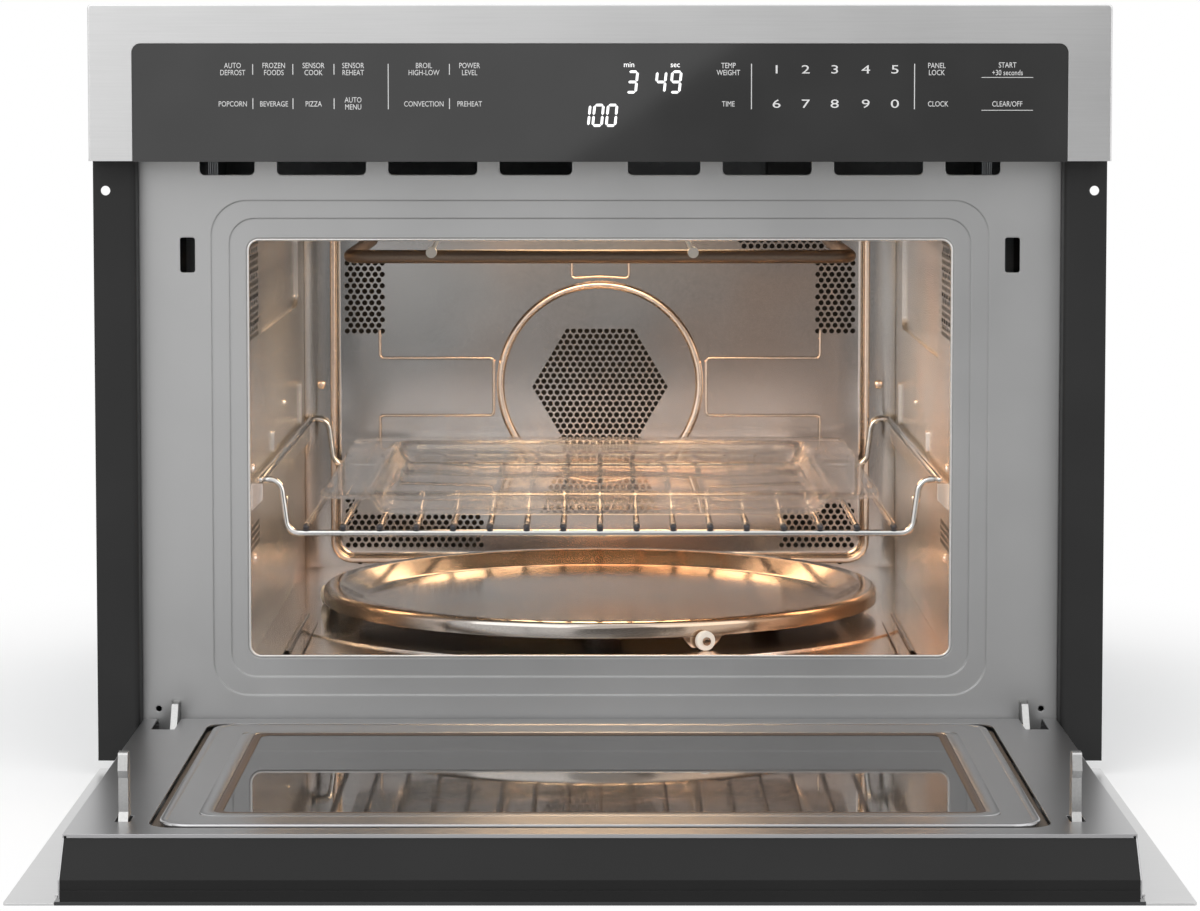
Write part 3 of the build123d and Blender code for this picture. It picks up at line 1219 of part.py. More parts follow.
plate_half = groove_half - GROOVE_WIDTH
plate_reach = (groove_reach[0] + GROOVE_WIDTH, groove_reach[1] - GROOVE_WIDTH)
plate_top = DOOR_HIGH + PLATE_PROUD
seal_half = window_half + SEAL_WIDTH
seal_reach = (window_reach[0] - SEAL_WIDTH, window_reach[1] + SEAL_WIDTH)
with BuildPart() as door_inner_plate:
    plate_z = (CHOKE_TOP - 6, plate_top)
    add(door_box((-plate_half, plate_half), plate_reach, plate_z, GROOVE_RADIUS - GROOVE_WIDTH))
    fillet(door_inner_plate.faces().sort_by(Axis.Z)[-1].edges(), SHEET)
    hollow_reach = (plate_reach[0] + SHEET, plate_reach[1] - SHEET)
    hollow_half = plate_half - SHEET
    hollow_z = (plate_z[0], plate_top - SHEET)
    hollow = door_box((-hollow_half, hollow_half), hollow_reach, hollow_z, GROOVE_RADIUS - GROOVE_WIDTH - SHEET)
    add(hollow, mode=Mode.SUBTRACT)
    window_cut = door_box((-seal_half, seal_half), seal_reach, plate_z, SEAL_RADIUS)
    add(window_cut, mode=Mode.SUBTRACT)
save(door_inner_plate.part, "door_inner_plate")

WINDOW_GLASS = 3.0
GLASS_LEVEL = DOOR_HIGH - 0.2
SCREEN_Z = 26.0
SCREEN_SHEET = 0.6
with BuildPart() as door_window_glass:
    glass_z = (GLASS_LEVEL - WINDOW_GLASS, GLASS_LEVEL)
    add(door_box((-window_half, window_half), window_reach, glass_z, 3))
save(door_window_glass.part, "door_window_glass")

with BuildPart() as door_window_seal:
    seal_z = (GLASS_LEVEL - WINDOW_GLASS - 1, GLASS_LEVEL - 1.5)
    seal_ring = (seal_reach[0] + SEAT, seal_reach[1] - SEAT)
    add(door_ring(seal_half - SEAT, seal_ring, seal_z, SEAL_RADIUS, SEAL_WIDTH - 2 * SEAT))
save(door_window_seal.part, "door_window_seal")

with BuildPart() as door_screen:
    screen_half = seal_half + 6
    screen_reach = (seal_reach[0] - 6, seal_reach[1] + 6)
    add(door_box((-screen_half, screen_half), screen_reach, (SCREEN_Z, SCREEN_Z + SCREEN_SHEET), 4))
    with BuildSketch(Plane.XY.offset(SCREEN_Z)):
        with Locations((0, back(HINGE_DEPTH - sum(window_reach) / 2))):
            with GridLocations(56, 56, 6, 4):
                RegularPolygon(22, 6)
    extrude(amount=SCREEN_SHEET, mode=Mode.SUBTRACT)
save(door_screen.part, "door_screen")

# Hinges: a bent arm through the plate's slot, and a forked leaf with its pin in the door
EYE_RADIUS = 6.5
ARM_LENGTH = 60.0
LEAF_SHEET = 1.8
LEAF_REACH = 60.0
LEAF_TOP = 26.0
arm_low = HINGE_SLOT_BOTTOM + 1.0
arm_high = HINGE_SLOT_TOP - 1.0
for side_name, side in SIDES.items():
    arm_x = span(side, HINGE_X - HINGE_ARM / 2, HINGE_X + HINGE_ARM / 2)
    with BuildPart() as hinge_arm:
        with BuildSketch(Plane.YZ.offset(arm_x[0])):
            Polygon(
                (back(HINGE_DEPTH - EYE_RADIUS), HINGE_Z),
                (back(HINGE_DEPTH + EYE_RADIUS), HINGE_Z),
                (back(PLATE_DEPTH - 3), arm_low),
                (back(ARM_LENGTH), arm_low),
                (back(ARM_LENGTH), arm_high),
                (back(PLATE_DEPTH - 8), arm_high),
                align=None,
            )
            with Locations((back(HINGE_DEPTH), HINGE_Z)):
                Circle(EYE_RADIUS)
                Circle(HINGE_PIN_RADIUS + SHAFT_GAP, mode=Mode.SUBTRACT)
        extrude(amount=HINGE_ARM)
        flange_x = span(side, HINGE_X - 7, HINGE_X + 15)
        flange_depth = (PLATE_BACK + SEAT, PLATE_BACK + SEAT + LEAF_SHEET)
        add(upright_box(flange_x, (arm_low - 6, arm_high + 12), flange_depth, 2))
        with BuildSketch(facing(PLATE_BACK)):
            with Locations((side * SMALL_HOLE_X, SMALL_HOLE_Z)):
                Circle(SCREW_HOLE_RADIUS)
        extrude(amount=-2 * LEAF_SHEET, mode=Mode.SUBTRACT)
    save(hinge_arm.part, f"hinge_arm_{side_name}")

    leaf_low = BODY_BOTTOM + THIN_SHEET + SEAT
    fork_gap = HINGE_ARM / 2 + FREE_GAP
    with BuildPart() as hinge_leaf:
        for near, far in ((-fork_gap - LEAF_SHEET, -fork_gap), (fork_gap, fork_gap + LEAF_SHEET)):
            fork_x = span(side, HINGE_X + near, HINGE_X + far)
            with BuildSketch(Plane.YZ.offset(fork_x[0])):
                Polygon(
                    (back(HINGE_DEPTH + 7), leaf_low),
                    (back(HINGE_DEPTH + 7), HINGE_Z + 4),
                    (back(HINGE_DEPTH - 6), LEAF_TOP),
                    (back(HINGE_DEPTH - LEAF_REACH), LEAF_TOP),
                    (back(HINGE_DEPTH - LEAF_REACH), leaf_low),
                    align=None,
                )
            extrude(amount=LEAF_SHEET)
        base_x = span(side, HINGE_X - fork_gap - LEAF_SHEET, HINGE_X + fork_gap + LEAF_SHEET)
        add(door_box(base_x, (DOOR_BAR, LEAF_REACH), (leaf_low, leaf_low + LEAF_SHEET)))
        with BuildSketch(Plane.YZ.offset(base_x[0])):
            with Locations((back(HINGE_DEPTH), HINGE_Z)):
                Circle(HINGE_PIN_RADIUS)
        extrude(amount=base_x[1] - base_x[0])
    save(hinge_leaf.part, f"hinge_leaf_{side_name}")

# Latch hooks on the door: tapered posts with rounded tops
LATCH_HEEL = 10.0
for side_name, side in SIDES.items():
    latch_x = span(side, LATCH_X - LATCH_THICK / 2, LATCH_X + LATCH_THICK / 2)
    with BuildPart() as latch_hook:
        with BuildSketch(Plane.YZ.offset(latch_x[0])) as hook_outline:
            low = (back(HINGE_DEPTH - LATCH_FROM_HINGE + LATCH_WIDTH / 2), LATCH_PIVOT_Z - 4)
            Polygon(
                low,
                (low[0], DOOR_HIGH + LATCH_TALL - 8),
                (low[0] - 3, DOOR_HIGH + LATCH_TALL),
                (low[0] - LATCH_WIDTH + 2, DOOR_HIGH + LATCH_TALL),
                (low[0] - LATCH_WIDTH, DOOR_HIGH + LATCH_TALL - 9),
                (low[0] - LATCH_WIDTH + 2.5, DOOR_HIGH + LATCH_TALL - 13),
                (low[0] - LATCH_WIDTH + 2.5, DOOR_HIGH + 4),
                (low[0] - LATCH_WIDTH, DOOR_HIGH - 2),
                (low[0] - LATCH_WIDTH, LATCH_PIVOT_Z - 4),
                align=None,
            )
            fillet(hook_outline.vertices().group_by(Axis.Y)[-1], 1.4)
            with Locations((back(HINGE_DEPTH - LATCH_FROM_HINGE), LATCH_PIVOT_Z)):
                Circle(LATCH_PIVOT_RADIUS + SHAFT_GAP, mode=Mode.SUBTRACT)
        extrude(amount=LATCH_THICK)
    save(latch_hook.part, f"latch_hook_{side_name}")

# Interlocks: a bracket behind each latch slot with two stacked switches
INTERLOCK_REAR = 62.0
SWITCH_THICK = 7.0
for side_name, side in SIDES.items():
    switch_x = LATCH_X + LATCH_SLOT_WIDTH / 2 + 1.5
    with BuildPart() as interlock:
        bracket_depth = (PLATE_BACK + SEAT, PLATE_BACK + SEAT + 1.5)
        bracket_z = (LATCH_SLOT_BOTTOM - 18, LATCH_SLOT_TOP + 18)
        add(upright_box(span(side, switch_x, switch_x + 20), bracket_z, bracket_depth, 3))
        post_z = (LATCH_SLOT_BOTTOM - 14, LATCH_SLOT_TOP + 14)
        add(side_box(span(side, switch_x, switch_x + 2), (bracket_depth[0], INTERLOCK_REAR), post_z, 2))
        for switch_low in (post_z[0] + 3, post_z[0] + 26):
            switch_z = (switch_low, switch_low + 18)
            switch_depth = (bracket_depth[1] + 8, INTERLOCK_REAR - 6)
            add(side_box(span(side, switch_x, switch_x + 2 + SWITCH_THICK), switch_depth, switch_z, 1))
    save(interlock.part, f"interlock_{side_name}")

# Waveguide on the ceiling, its cover inside the recess, and the magnetron on top
guide_low = recess_top + THIN_SHEET + SEAT
GUIDE_HEIGHT = 34.0
MAGNETRON_SIZE = 78.0
MAGNETRON_FIN_PITCH = 6.0
with BuildPart() as waveguide:
    guide_rear = WAVEGUIDE_DEPTH + WAVEGUIDE_LENGTH / 2 + 5
    guide_front = WAVEGUIDE_DEPTH - WAVEGUIDE_LENGTH / 2 - 95
    guide_x = (WAVEGUIDE_X - WAVEGUIDE_WIDTH / 2, WAVEGUIDE_X + WAVEGUIDE_WIDTH / 2)
    add(flat_box(guide_x, (guide_front, guide_rear), (guide_low, guide_low + GUIDE_HEIGHT), 4))
    hollow_x = (guide_x[0] + SHEET, guide_x[1] - SHEET)
    hollow_depth = (guide_front + SHEET, guide_rear - SHEET)
    hollow_z = (guide_low + SHEET, guide_low + GUIDE_HEIGHT - SHEET)
    add(flat_box(hollow_x, hollow_depth, hollow_z, 3), mode=Mode.SUBTRACT)
    with BuildSketch(Plane.XY.offset(guide_low)):
        with Locations((WAVEGUIDE_X, back(WAVEGUIDE_DEPTH))):
            Rectangle(WAVEGUIDE_WIDTH - 10, WAVEGUIDE_LENGTH - 10)
    extrude(amount=SHEET, mode=Mode.SUBTRACT)
save(waveguide.part, "waveguide")

with BuildPart() as waveguide_cover:
    cover_x = (WAVEGUIDE_X - WAVEGUIDE_WIDTH / 2, WAVEGUIDE_X + WAVEGUIDE_WIDTH / 2)
    cover_depth = (WAVEGUIDE_DEPTH - WAVEGUIDE_LENGTH / 2, WAVEGUIDE_DEPTH + WAVEGUIDE_LENGTH / 2)
    add(flat_box(cover_x, cover_depth, (recess_top - SEAT - 0.6, recess_top - SEAT), 4))
save(waveguide_cover.part, "waveguide_cover")

with BuildPart() as magnetron:
    magnetron_low = guide_low + GUIDE_HEIGHT + SEAT
    magnetron_depth = guide_front + 46
    body_range = (magnetron_depth - MAGNETRON_SIZE / 2, magnetron_depth + MAGNETRON_SIZE / 2)
    body_x = (WAVEGUIDE_X - MAGNETRON_SIZE / 2, WAVEGUIDE_X + MAGNETRON_SIZE / 2)
    add(flat_box(body_x, body_range, (magnetron_low, magnetron_low + 2)))
    add(flat_box(body_x, body_range, (magnetron_low + 46, magnetron_low + 48)))
    with BuildSketch(Plane.XY.offset(magnetron_low)):
        with Locations((WAVEGUIDE_X, back(magnetron_depth))):
            Circle(18)
    extrude(amount=48)
    with BuildSketch(Plane.XY.offset(magnetron_low + 5)) as fin:
        with Locations((WAVEGUIDE_X, back(magnetron_depth))):
            Rectangle(MAGNETRON_SIZE - 4, MAGNETRON_SIZE - 12)
    for level in range(6):
        extrude(fin.sketch.moved(Location((0, 0, level * MAGNETRON_FIN_PITCH))), amount=1)
    add(flat_box((WAVEGUIDE_X - 20, WAVEGUIDE_X + 20), body_range, (magnetron_low + 48, magnetron_low + 62), 3))
save(magnetron.part, "magnetron")

# Power supply in the rear corner: transformer with its windings, capacitor beside it
SUPPLY_X = 195.0
SUPPLY_DEPTH = 498.0
SUPPLY_BOTTOM = 84.0
with BuildPart() as power_supply:
    supply_x = (SUPPLY_X - 42, SUPPLY_X + 42)
    add(flat_box(supply_x, (SUPPLY_DEPTH - 24, SUPPLY_DEPTH + 24), (SUPPLY_BOTTOM, SUPPLY_BOTTOM + 72), 1.5))
    for winding_z in (SUPPLY_BOTTOM + 12, SUPPLY_BOTTOM + 40):
        winding_depth = (SUPPLY_DEPTH - 36, SUPPLY_DEPTH + 36)
        add(flat_box((SUPPLY_X - 28, SUPPLY_X + 28), winding_depth, (winding_z, winding_z + 20), 10))
    foot_z = (SUPPLY_BOTTOM - 10, SUPPLY_BOTTOM)
    add(flat_box((SUPPLY_X - 48, SUPPLY_X + 48), (SUPPLY_DEPTH - 30, SUPPLY_DEPTH + 30), foot_z, 3))
save(power_supply.part, "power_supply")

# Cooling blower over the cavity: scroll housing, motor, wheel and air duct
BLOWER_X = -150.0
BLOWER_DEPTH = 480.0
BLOWER_Z = 390.0
BLOWER_RADIUS = 40.0
BLOWER_WIDTH = 34.0
IMPELLER_RADIUS = 32.0
blower_front = BLOWER_DEPTH - BLOWER_WIDTH / 2
with BuildPart() as blower_housing:
    for grow, mode in ((0.0, Mode.ADD), (-1.5, Mode.SUBTRACT)):
        with BuildSketch(facing(blower_front - grow)):
            with Locations((BLOWER_X, BLOWER_Z)):
                Circle(BLOWER_RADIUS + grow)
            with Locations((BLOWER_X + BLOWER_RADIUS, BLOWER_Z + BLOWER_RADIUS / 2)):
                Rectangle(2 * BLOWER_RADIUS - 2 * grow, BLOWER_RADIUS + 2 * grow)
        extrude(amount=-(BLOWER_WIDTH + 2 * grow), mode=mode)
    with BuildSketch(facing(blower_front)):
        with Locations((BLOWER_X, BLOWER_Z)):
            Circle(BLOWER_RADIUS / 2)
    extrude(amount=-BLOWER_WIDTH, mode=Mode.SUBTRACT)
save(blower_housing.part, "blower_housing")

with BuildPart() as cooling_motor:
    cooling_front = blower_front + BLOWER_WIDTH + SEAT
    with BuildSketch(facing(cooling_front)):
        with Locations((BLOWER_X, BLOWER_Z)):
            Circle(27)
            Rectangle(74, 10)
    extrude(amount=-2)
    with BuildSketch(facing(cooling_front)):
        with Locations((BLOWER_X, BLOWER_Z)):
            Circle(24)
    extrude(amount=-26)
    chamfer(cooling_motor.edges().sort_by(Axis.Y)[-1], 3)
    with BuildSketch(facing(cooling_front)):
        with Locations((BLOWER_X, BLOWER_Z)):
            Circle(SHAFT_RADIUS + SHAFT_GAP)
    extrude(amount=-20, mode=Mode.SUBTRACT)
save(cooling_motor.part, "cooling_motor")

with BuildPart() as cooling_impeller:
    impeller_front = blower_front + 4
    impeller_length = BLOWER_WIDTH - 10
    with BuildSketch(facing(impeller_front)):
        with Locations((BLOWER_X, BLOWER_Z)):
            Circle(IMPELLER_RADIUS)
            Circle(IMPELLER_RADIUS - 7, mode=Mode.SUBTRACT)
    extrude(amount=-2)
    with BuildSketch(facing(impeller_front + impeller_length - 2)):
        with Locations((BLOWER_X, BLOWER_Z)):
            Circle(IMPELLER_RADIUS)
    extrude(amount=-2)
    with BuildSketch(facing(impeller_front)):
        with Locations((BLOWER_X, BLOWER_Z)):
            with PolarLocations(IMPELLER_RADIUS - 4, 16):
                Rectangle(6, 1.2, rotation=35)
    extrude(amount=-impeller_length)
    with BuildSketch(facing(impeller_front + 4)):
        with Locations((BLOWER_X, BLOWER_Z)):
            Circle(SHAFT_RADIUS)
    extrude(amount=-(cooling_front + 18 - impeller_front - 4))
save(cooling_impeller.part, "cooling_impeller")

DUCT_WALL = 1.2
with BuildPart() as air_duct:
    duct_x = (BLOWER_X + 2 * BLOWER_RADIUS + 1, WAVEGUIDE_X + MAGNETRON_SIZE / 2)
    duct_z = (guide_low + GUIDE_HEIGHT + 2, guide_low + GUIDE_HEIGHT + 72)
    duct_depth = (body_range[1] + 1, BLOWER_DEPTH + BLOWER_WIDTH / 2)
    plan_front = ((WAVEGUIDE_X - MAGNETRON_SIZE / 2, back(duct_depth[0])), (duct_x[1], back(duct_depth[0])))
    plan_rear = ((duct_x[0] + 60, back(duct_depth[1])), (duct_x[0], back(duct_depth[1])))
    with BuildSketch(Plane.XY.offset(duct_z[0])):
        Polygon(*plan_front, *plan_rear, align=None)
    extrude(amount=duct_z[1] - duct_z[0])
    with BuildSketch(Plane.XY.offset(duct_z[0] + DUCT_WALL)) as duct_hollow:
        Polygon(*plan_front, *plan_rear, align=None)
        offset(amount=-DUCT_WALL, kind=Kind.INTERSECTION)
    extrude(amount=duct_z[1] - duct_z[0] - 2 * DUCT_WALL, mode=Mode.SUBTRACT)
save(air_duct.part, "air_duct")

# Oven lamp outside the vented part of the right wall
LAMP_RADIUS = 13.0
with BuildPart() as oven_lamp:
    lamp_x = WALL_OUTER + SEAT
    with BuildSketch(Plane.YZ.offset(lamp_x)):
        with Locations((back(WALL_VENT_DEPTH), WALL_VENT_Z)):
            RectangleRounded(74, 54, 6)
            Circle(LAMP_RADIUS + 4, mode=Mode.SUBTRACT)
    extrude(amount=2)
    with BuildSketch(Plane.YZ.offset(lamp_x + 2)):
        with Locations((back(WALL_VENT_DEPTH), WALL_VENT_Z)):
            Circle(LAMP_RADIUS + 6)
    extrude(amount=30, taper=8)
    with BuildSketch(Plane.YZ.offset(lamp_x + 2)):
        with Locations((back(WALL_VENT_DEPTH), WALL_VENT_Z)):
            Circle(LAMP_RADIUS + 4)
    extrude(amount=20, taper=8, mode=Mode.SUBTRACT)
    with BuildSketch(Plane.YZ.offset(lamp_x + 8)):
        with Locations((back(WALL_VENT_DEPTH), WALL_VENT_Z)):
            Circle(6)
    extrude(amount=18)
save(oven_lamp.part, "oven_lamp")

# Terminal box with the gland for the mains lead
GLAND_BORE_RADIUS = 3.8
with BuildPart() as terminal_box:
    box_depth = (CASE_DEPTH - SHEET - SEAT - 34, CASE_DEPTH - SHEET - SEAT - 4)
    box_z = (GLAND_Z - 18, GLAND_Z + 18)
    add(upright_box((GLAND_X - 24, GLAND_X + 24), box_z, box_depth, 3))
    with BuildSketch(facing(box_depth[1])):
        with Locations((GLAND_X, GLAND_Z)):
            Circle(GLAND_NECK_RADIUS)
    extrude(amount=-(CASE_DEPTH + 3 - box_depth[1]))
    with BuildSketch(facing(box_depth[0] + 10)):
        with Locations((GLAND_X, GLAND_Z)):
            Circle(GLAND_BORE_RADIUS)
    extrude(amount=-(CASE_DEPTH + 3 - box_depth[0] - 10), mode=Mode.SUBTRACT)
save(terminal_box.part, "terminal_box")
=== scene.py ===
from math import pi, radians

import bpy
import numpy as np
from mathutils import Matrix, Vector


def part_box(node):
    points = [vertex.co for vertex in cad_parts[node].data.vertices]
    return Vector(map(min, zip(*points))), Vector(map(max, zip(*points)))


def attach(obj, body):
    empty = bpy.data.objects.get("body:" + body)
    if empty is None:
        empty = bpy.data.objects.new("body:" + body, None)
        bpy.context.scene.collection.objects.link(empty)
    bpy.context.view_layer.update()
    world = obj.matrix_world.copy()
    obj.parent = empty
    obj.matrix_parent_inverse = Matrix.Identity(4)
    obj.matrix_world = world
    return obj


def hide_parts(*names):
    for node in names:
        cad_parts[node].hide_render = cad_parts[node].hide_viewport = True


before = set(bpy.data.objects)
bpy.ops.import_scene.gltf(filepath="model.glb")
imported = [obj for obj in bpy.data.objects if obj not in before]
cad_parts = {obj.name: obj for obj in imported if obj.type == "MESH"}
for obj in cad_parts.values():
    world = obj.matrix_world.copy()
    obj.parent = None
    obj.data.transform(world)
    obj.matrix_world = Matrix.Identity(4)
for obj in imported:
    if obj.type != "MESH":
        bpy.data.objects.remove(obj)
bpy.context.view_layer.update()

# Millimetres become the frame's metres; depths count from the flanges' front face
MM = 0.001
FACE_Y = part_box("mounting_flange_left")[0].y
UP = np.array((0.0, 0.0, 1.0))
FRONT = np.array((0.0, -1.0, 0.0))

# The cavity's back wall, in millimetres: its border, its sunk panel and their heights
BORDER_DEPTH = 452.0
PANEL_DEPTH = 456.0
PANEL_Z = 194.0
FAN_Z = 194.6
HOLES_Z = 192.6

# The turntable pan, in millimetres, and where its rollers stand, in degrees
PAN_DEPTH = 230.0
PAN_RADIUS = 180.0
PAN_SHEET = 1.2
ROLLER_ANGLES = (-69.7, 50.3, 170.3)

# The touch glass as the photograph shows it: pixels to a millimetre, its middle and top edge
GLASS_SCALE = 3820.0 / (2255.5 - 18.1)
GLASS_MIDDLE_X = 600.05
GLASS_TOP_Y = 65.5
GLASS_TOP_Z = 419.6
# The print stands a little closer together, because the leaning camera widens the panel
PRINT_SPREAD = 0.995
PRINT_DEPTH = -18.16
# A capital letter's share of the font's size
CAPITAL_SHARE = 0.70

# Stretches of a pattern: streaks that run across, streaks that run back, and no streaks
ACROSS = (0.02, 1.0, 1.0)
BACKWARDS = (1.0, 0.02, 1.0)
EVEN = (1.0, 1.0, 1.0)

WHITE = (1.0, 1.0, 1.0, 1.0)
ROOM_LIGHT = 0.6
FLOOR_RADIUS = 3.0


def back(depth):
    """Y of a depth, in millimetres, behind the front face of the flanges."""
    return FACE_Y + depth * MM


class Signal:
    """A value that varies over a surface; arithmetic on it adds Math nodes."""

    def __init__(self, nodes, socket):
        self.nodes = nodes
        self.socket = socket

    def _math(self, operation, first, second=None):
        sockets = {0: first} if second is None else {0: first, 1: second}
        return self.nodes.node("ShaderNodeMath", {"operation": operation}, sockets)[0]

    def __add__(self, other):
        return self._math("ADD", self, other)

    def __radd__(self, other):
        return self._math("ADD", other, self)

    def __sub__(self, other):
        return self._math("SUBTRACT", self, other)

    def __rsub__(self, other):
        return self._math("SUBTRACT", other, self)

    def __mul__(self, other):
        return self._math("MULTIPLY", self, other)

    def __rmul__(self, other):
        return self._math("MULTIPLY", other, self)

    def __pow__(self, other):
        return self._math("POWER", self, other)

    def apart(self):
        """Distance from zero."""
        return self._math("ABSOLUTE", self)

    def off(self, length):
        """Distance from the nearest multiple of a length."""
        return self._math("PINGPONG", self, length / 2)

    def most(self, other):
        """The larger of two values."""
        return self._math("MAXIMUM", self, other)

    def reach(self, other):
        """Distance from the middle, with this and another value as the two coordinates."""
        return (self * self + other * other) ** 0.5

    def step(self, low, high, bottom=0.0, top=1.0):
        """Smooth run from bottom at low to top at high."""
        settings = {"interpolation_type": "SMOOTHSTEP"}
        values = {0: self, 1: low, 2: high, 3: bottom, 4: top}
        return self.nodes.node("ShaderNodeMapRange", settings, values)[0]


class Nodes:
    """The nodes of a material or of the world."""

    def __init__(self, tree):
        self.tree = tree

    def put(self, socket, value):
        """Link a signal to a socket, or set the socket to a constant."""
        if isinstance(value, Signal):
            self.tree.links.new(value.socket, socket)
        else:
            socket.default_value = value

    def node(self, kind, settings, sockets):
        """Add a node, set it, feed its sockets, and return its outputs as signals."""
        node = self.tree.nodes.new(kind)
        for key, value in settings.items():
            setattr(node, key, value)
        for key, value in sockets.items():
            self.put(node.inputs[key], value)
        return [Signal(self, output) for output in node.outputs]

    def rays(self):
        """One signal for each kind of ray, by the names of the Light Path node."""
        return {ray.socket.name: ray for ray in self.node("ShaderNodeLightPath", {}, {})}

    def glow(self, colour):
        """A plain emission of a colour, at strength 1."""
        return self.node("ShaderNodeEmission", {}, {"Color": colour, "Strength": 1.0})[0]


class Finish(Nodes):
    """A material: a Principled shader and the nodes that vary it over the surface."""

    def __init__(self, name, colour, roughness, metallic=0.0, **fixed):
        self.material = bpy.data.materials.new(name)
        self.material.use_nodes = True
        super().__init__(self.material.node_tree)
        self.shader = self.tree.nodes["Principled BSDF"]
        self.fix(**{"Base Color": (*colour, 1.0), "Roughness": roughness, "Metallic": metallic})
        self.fix(**{key.replace("_", " "): value for key, value in fixed.items()})

    def fix(self, **values):
        """Set sockets of the shader to constants."""
        for socket, value in values.items():
            self.shader.inputs[socket].default_value = value

    def feed(self, socket, signal):
        """Link a signal to a socket of the shader."""
        self.put(self.shader.inputs[socket], signal)

    def fed(self, socket):
        """The signal that feeds a socket of the shader."""
        return Signal(self, self.shader.inputs[socket].links[0].from_socket)

    def show(self, signal):
        """Make another shader the surface of the material."""
        self.put(self.tree.nodes["Material Output"].inputs["Surface"], signal)

    def spot(self):
        """Object coordinates in metres, as one signal."""
        return self.node("ShaderNodeTexCoord", {}, {})[3]

    def place(self):
        """Object coordinates in millimetres, as three signals."""
        parts = self.node("ShaderNodeSeparateXYZ", {}, {0: self.spot()})[:3]
        return [part * (1.0 / MM) for part in parts]

    def noise(self, scale, detail=3.0, stretch=EVEN):
        """Cloudy value round a half, in Object coordinates stretched along the axes."""
        spot = self.node("ShaderNodeMapping", {}, {0: self.spot(), 3: stretch})[0]
        values = {"Vector": spot, "Scale": scale, "Detail": detail, "Roughness": 0.55}
        return self.node("ShaderNodeTexNoise", {}, values)[0]

    def blend(self, share, first, second):
        """Mix of two colours by a share from 0 to 1."""
        first = first if isinstance(first, Signal) else (*first, 1.0)
        second = second if isinstance(second, Signal) else (*second, 1.0)
        settings = {"data_type": "RGBA", "blend_type": "MIX"}
        return self.node("ShaderNodeMix", settings, {0: share, 6: first, 7: second})[2]

    def relief(self, height, distance, edge=0.0, strength=1.0):
        """Bump from a height, over softened edges where a radius is given."""
        values = {"Strength": strength, "Distance": distance, "Height": height}
        if edge:
            values["Normal"] = self.node("ShaderNodeBevel", {"samples": 4}, {"Radius": edge})[0]
        self.feed("Normal", self.node("ShaderNodeBump", {}, values)[0])


def scaled(colour, share):
    """A colour made darker or lighter by a share."""
    return tuple(share * part for part in colour)


def brushed(
    name, colour, roughness, along=ACROSS, streak=0.06, edge=0.0005, oxide_and_reflection_tint=None, spread=0.10
):
    """Rolled or brushed steel: long fine streaks, a cloudy polish and softened edges.

    An optional tint, a share and a colour, comes in clouds: real oxide on the heater tube, painted
    warm reflection on the pan.
    """
    finish = Finish(name, colour, roughness, metallic=1.0)
    streaks = finish.noise(900.0, 2.0, along)
    clouds = finish.noise(9.0, 3.0)
    tone = streaks * 0.5 + clouds * 0.5
    dark, light = scaled(colour, 1.0 - spread), scaled(colour, 1.0 + spread)
    shade = finish.blend(tone.step(0.3, 0.7), dark, light)
    if oxide_and_reflection_tint:
        # clouds of the tint: real oxide on the heater tube, painted warm reflection on the pan
        glow = finish.noise(5.0, 2.0).step(0.42, 0.66)
        shade = finish.blend(glow * oxide_and_reflection_tint[0], shade, oxide_and_reflection_tint[1])
    finish.feed("Base Color", shade)
    finish.feed("Roughness", roughness - streak / 2 + streaks * streak + (clouds - 0.5) * 0.05)
    finish.relief(streaks, 0.00002, edge, 0.5)
    return finish


def moulded(name, colour, roughness, grain=0.00004, scale=1400.0, edge=0.0006, gloss=0.5):
    """Moulded or enamelled surface: fine grain, faint uneven gloss, softened edges."""
    finish = Finish(name, colour, roughness, Specular_IOR_Level=gloss)
    grains = finish.noise(scale, 2.0)
    clouds = finish.noise(14.0, 2.0)
    light = tuple(min(1.0, 1.14 * part + 0.001) for part in colour)
    finish.feed("Base Color", finish.blend(clouds.step(0.35, 0.7), colour, light))
    finish.feed("Roughness", roughness * 0.9 + clouds * roughness * 0.2)
    finish.relief(grains, grain, edge, 0.6)
    return finish


def galvanised():
    """Zinc coated sheet: pale crystals of differing tone, dull polish."""
    finish = Finish("galvanised_sheet", (0.36, 0.37, 0.38), 0.55, metallic=1.0)
    crystal = finish.node("ShaderNodeTexVoronoi", {}, {"Vector": finish.spot(), "Scale": 130.0})[1]
    tone = finish.node("ShaderNodeSeparateColor", {}, {0: crystal})[0]
    clouds = finish.noise(7.0, 3.0)
    shade = finish.blend(tone * 0.5 + clouds * 0.5, (0.30, 0.31, 0.32), (0.44, 0.45, 0.46))
    finish.feed("Base Color", shade)
    finish.feed("Roughness", 0.50 + tone * 0.12)
    finish.relief(tone, 0.00003, 0.0005, 0.4)
    return finish


def front_steel():
    """Pale dull steel of the front plate, with a faint cloudy tone and softened steps."""
    finish = Finish("front_plate_steel", (0.42, 0.42, 0.42), 0.40, metallic=0.8)
    clouds = finish.noise(6.0, 4.0)
    grain = finish.noise(1500.0, 2.0)
    shade = finish.blend(clouds.step(0.3, 0.7), (0.385, 0.385, 0.385), (0.43, 0.43, 0.43))
    finish.feed("Base Color", shade)
    finish.feed("Roughness", 0.34 + clouds * 0.10)
    finish.relief(grain, 0.00002, 0.0012, 0.4)
    return finish


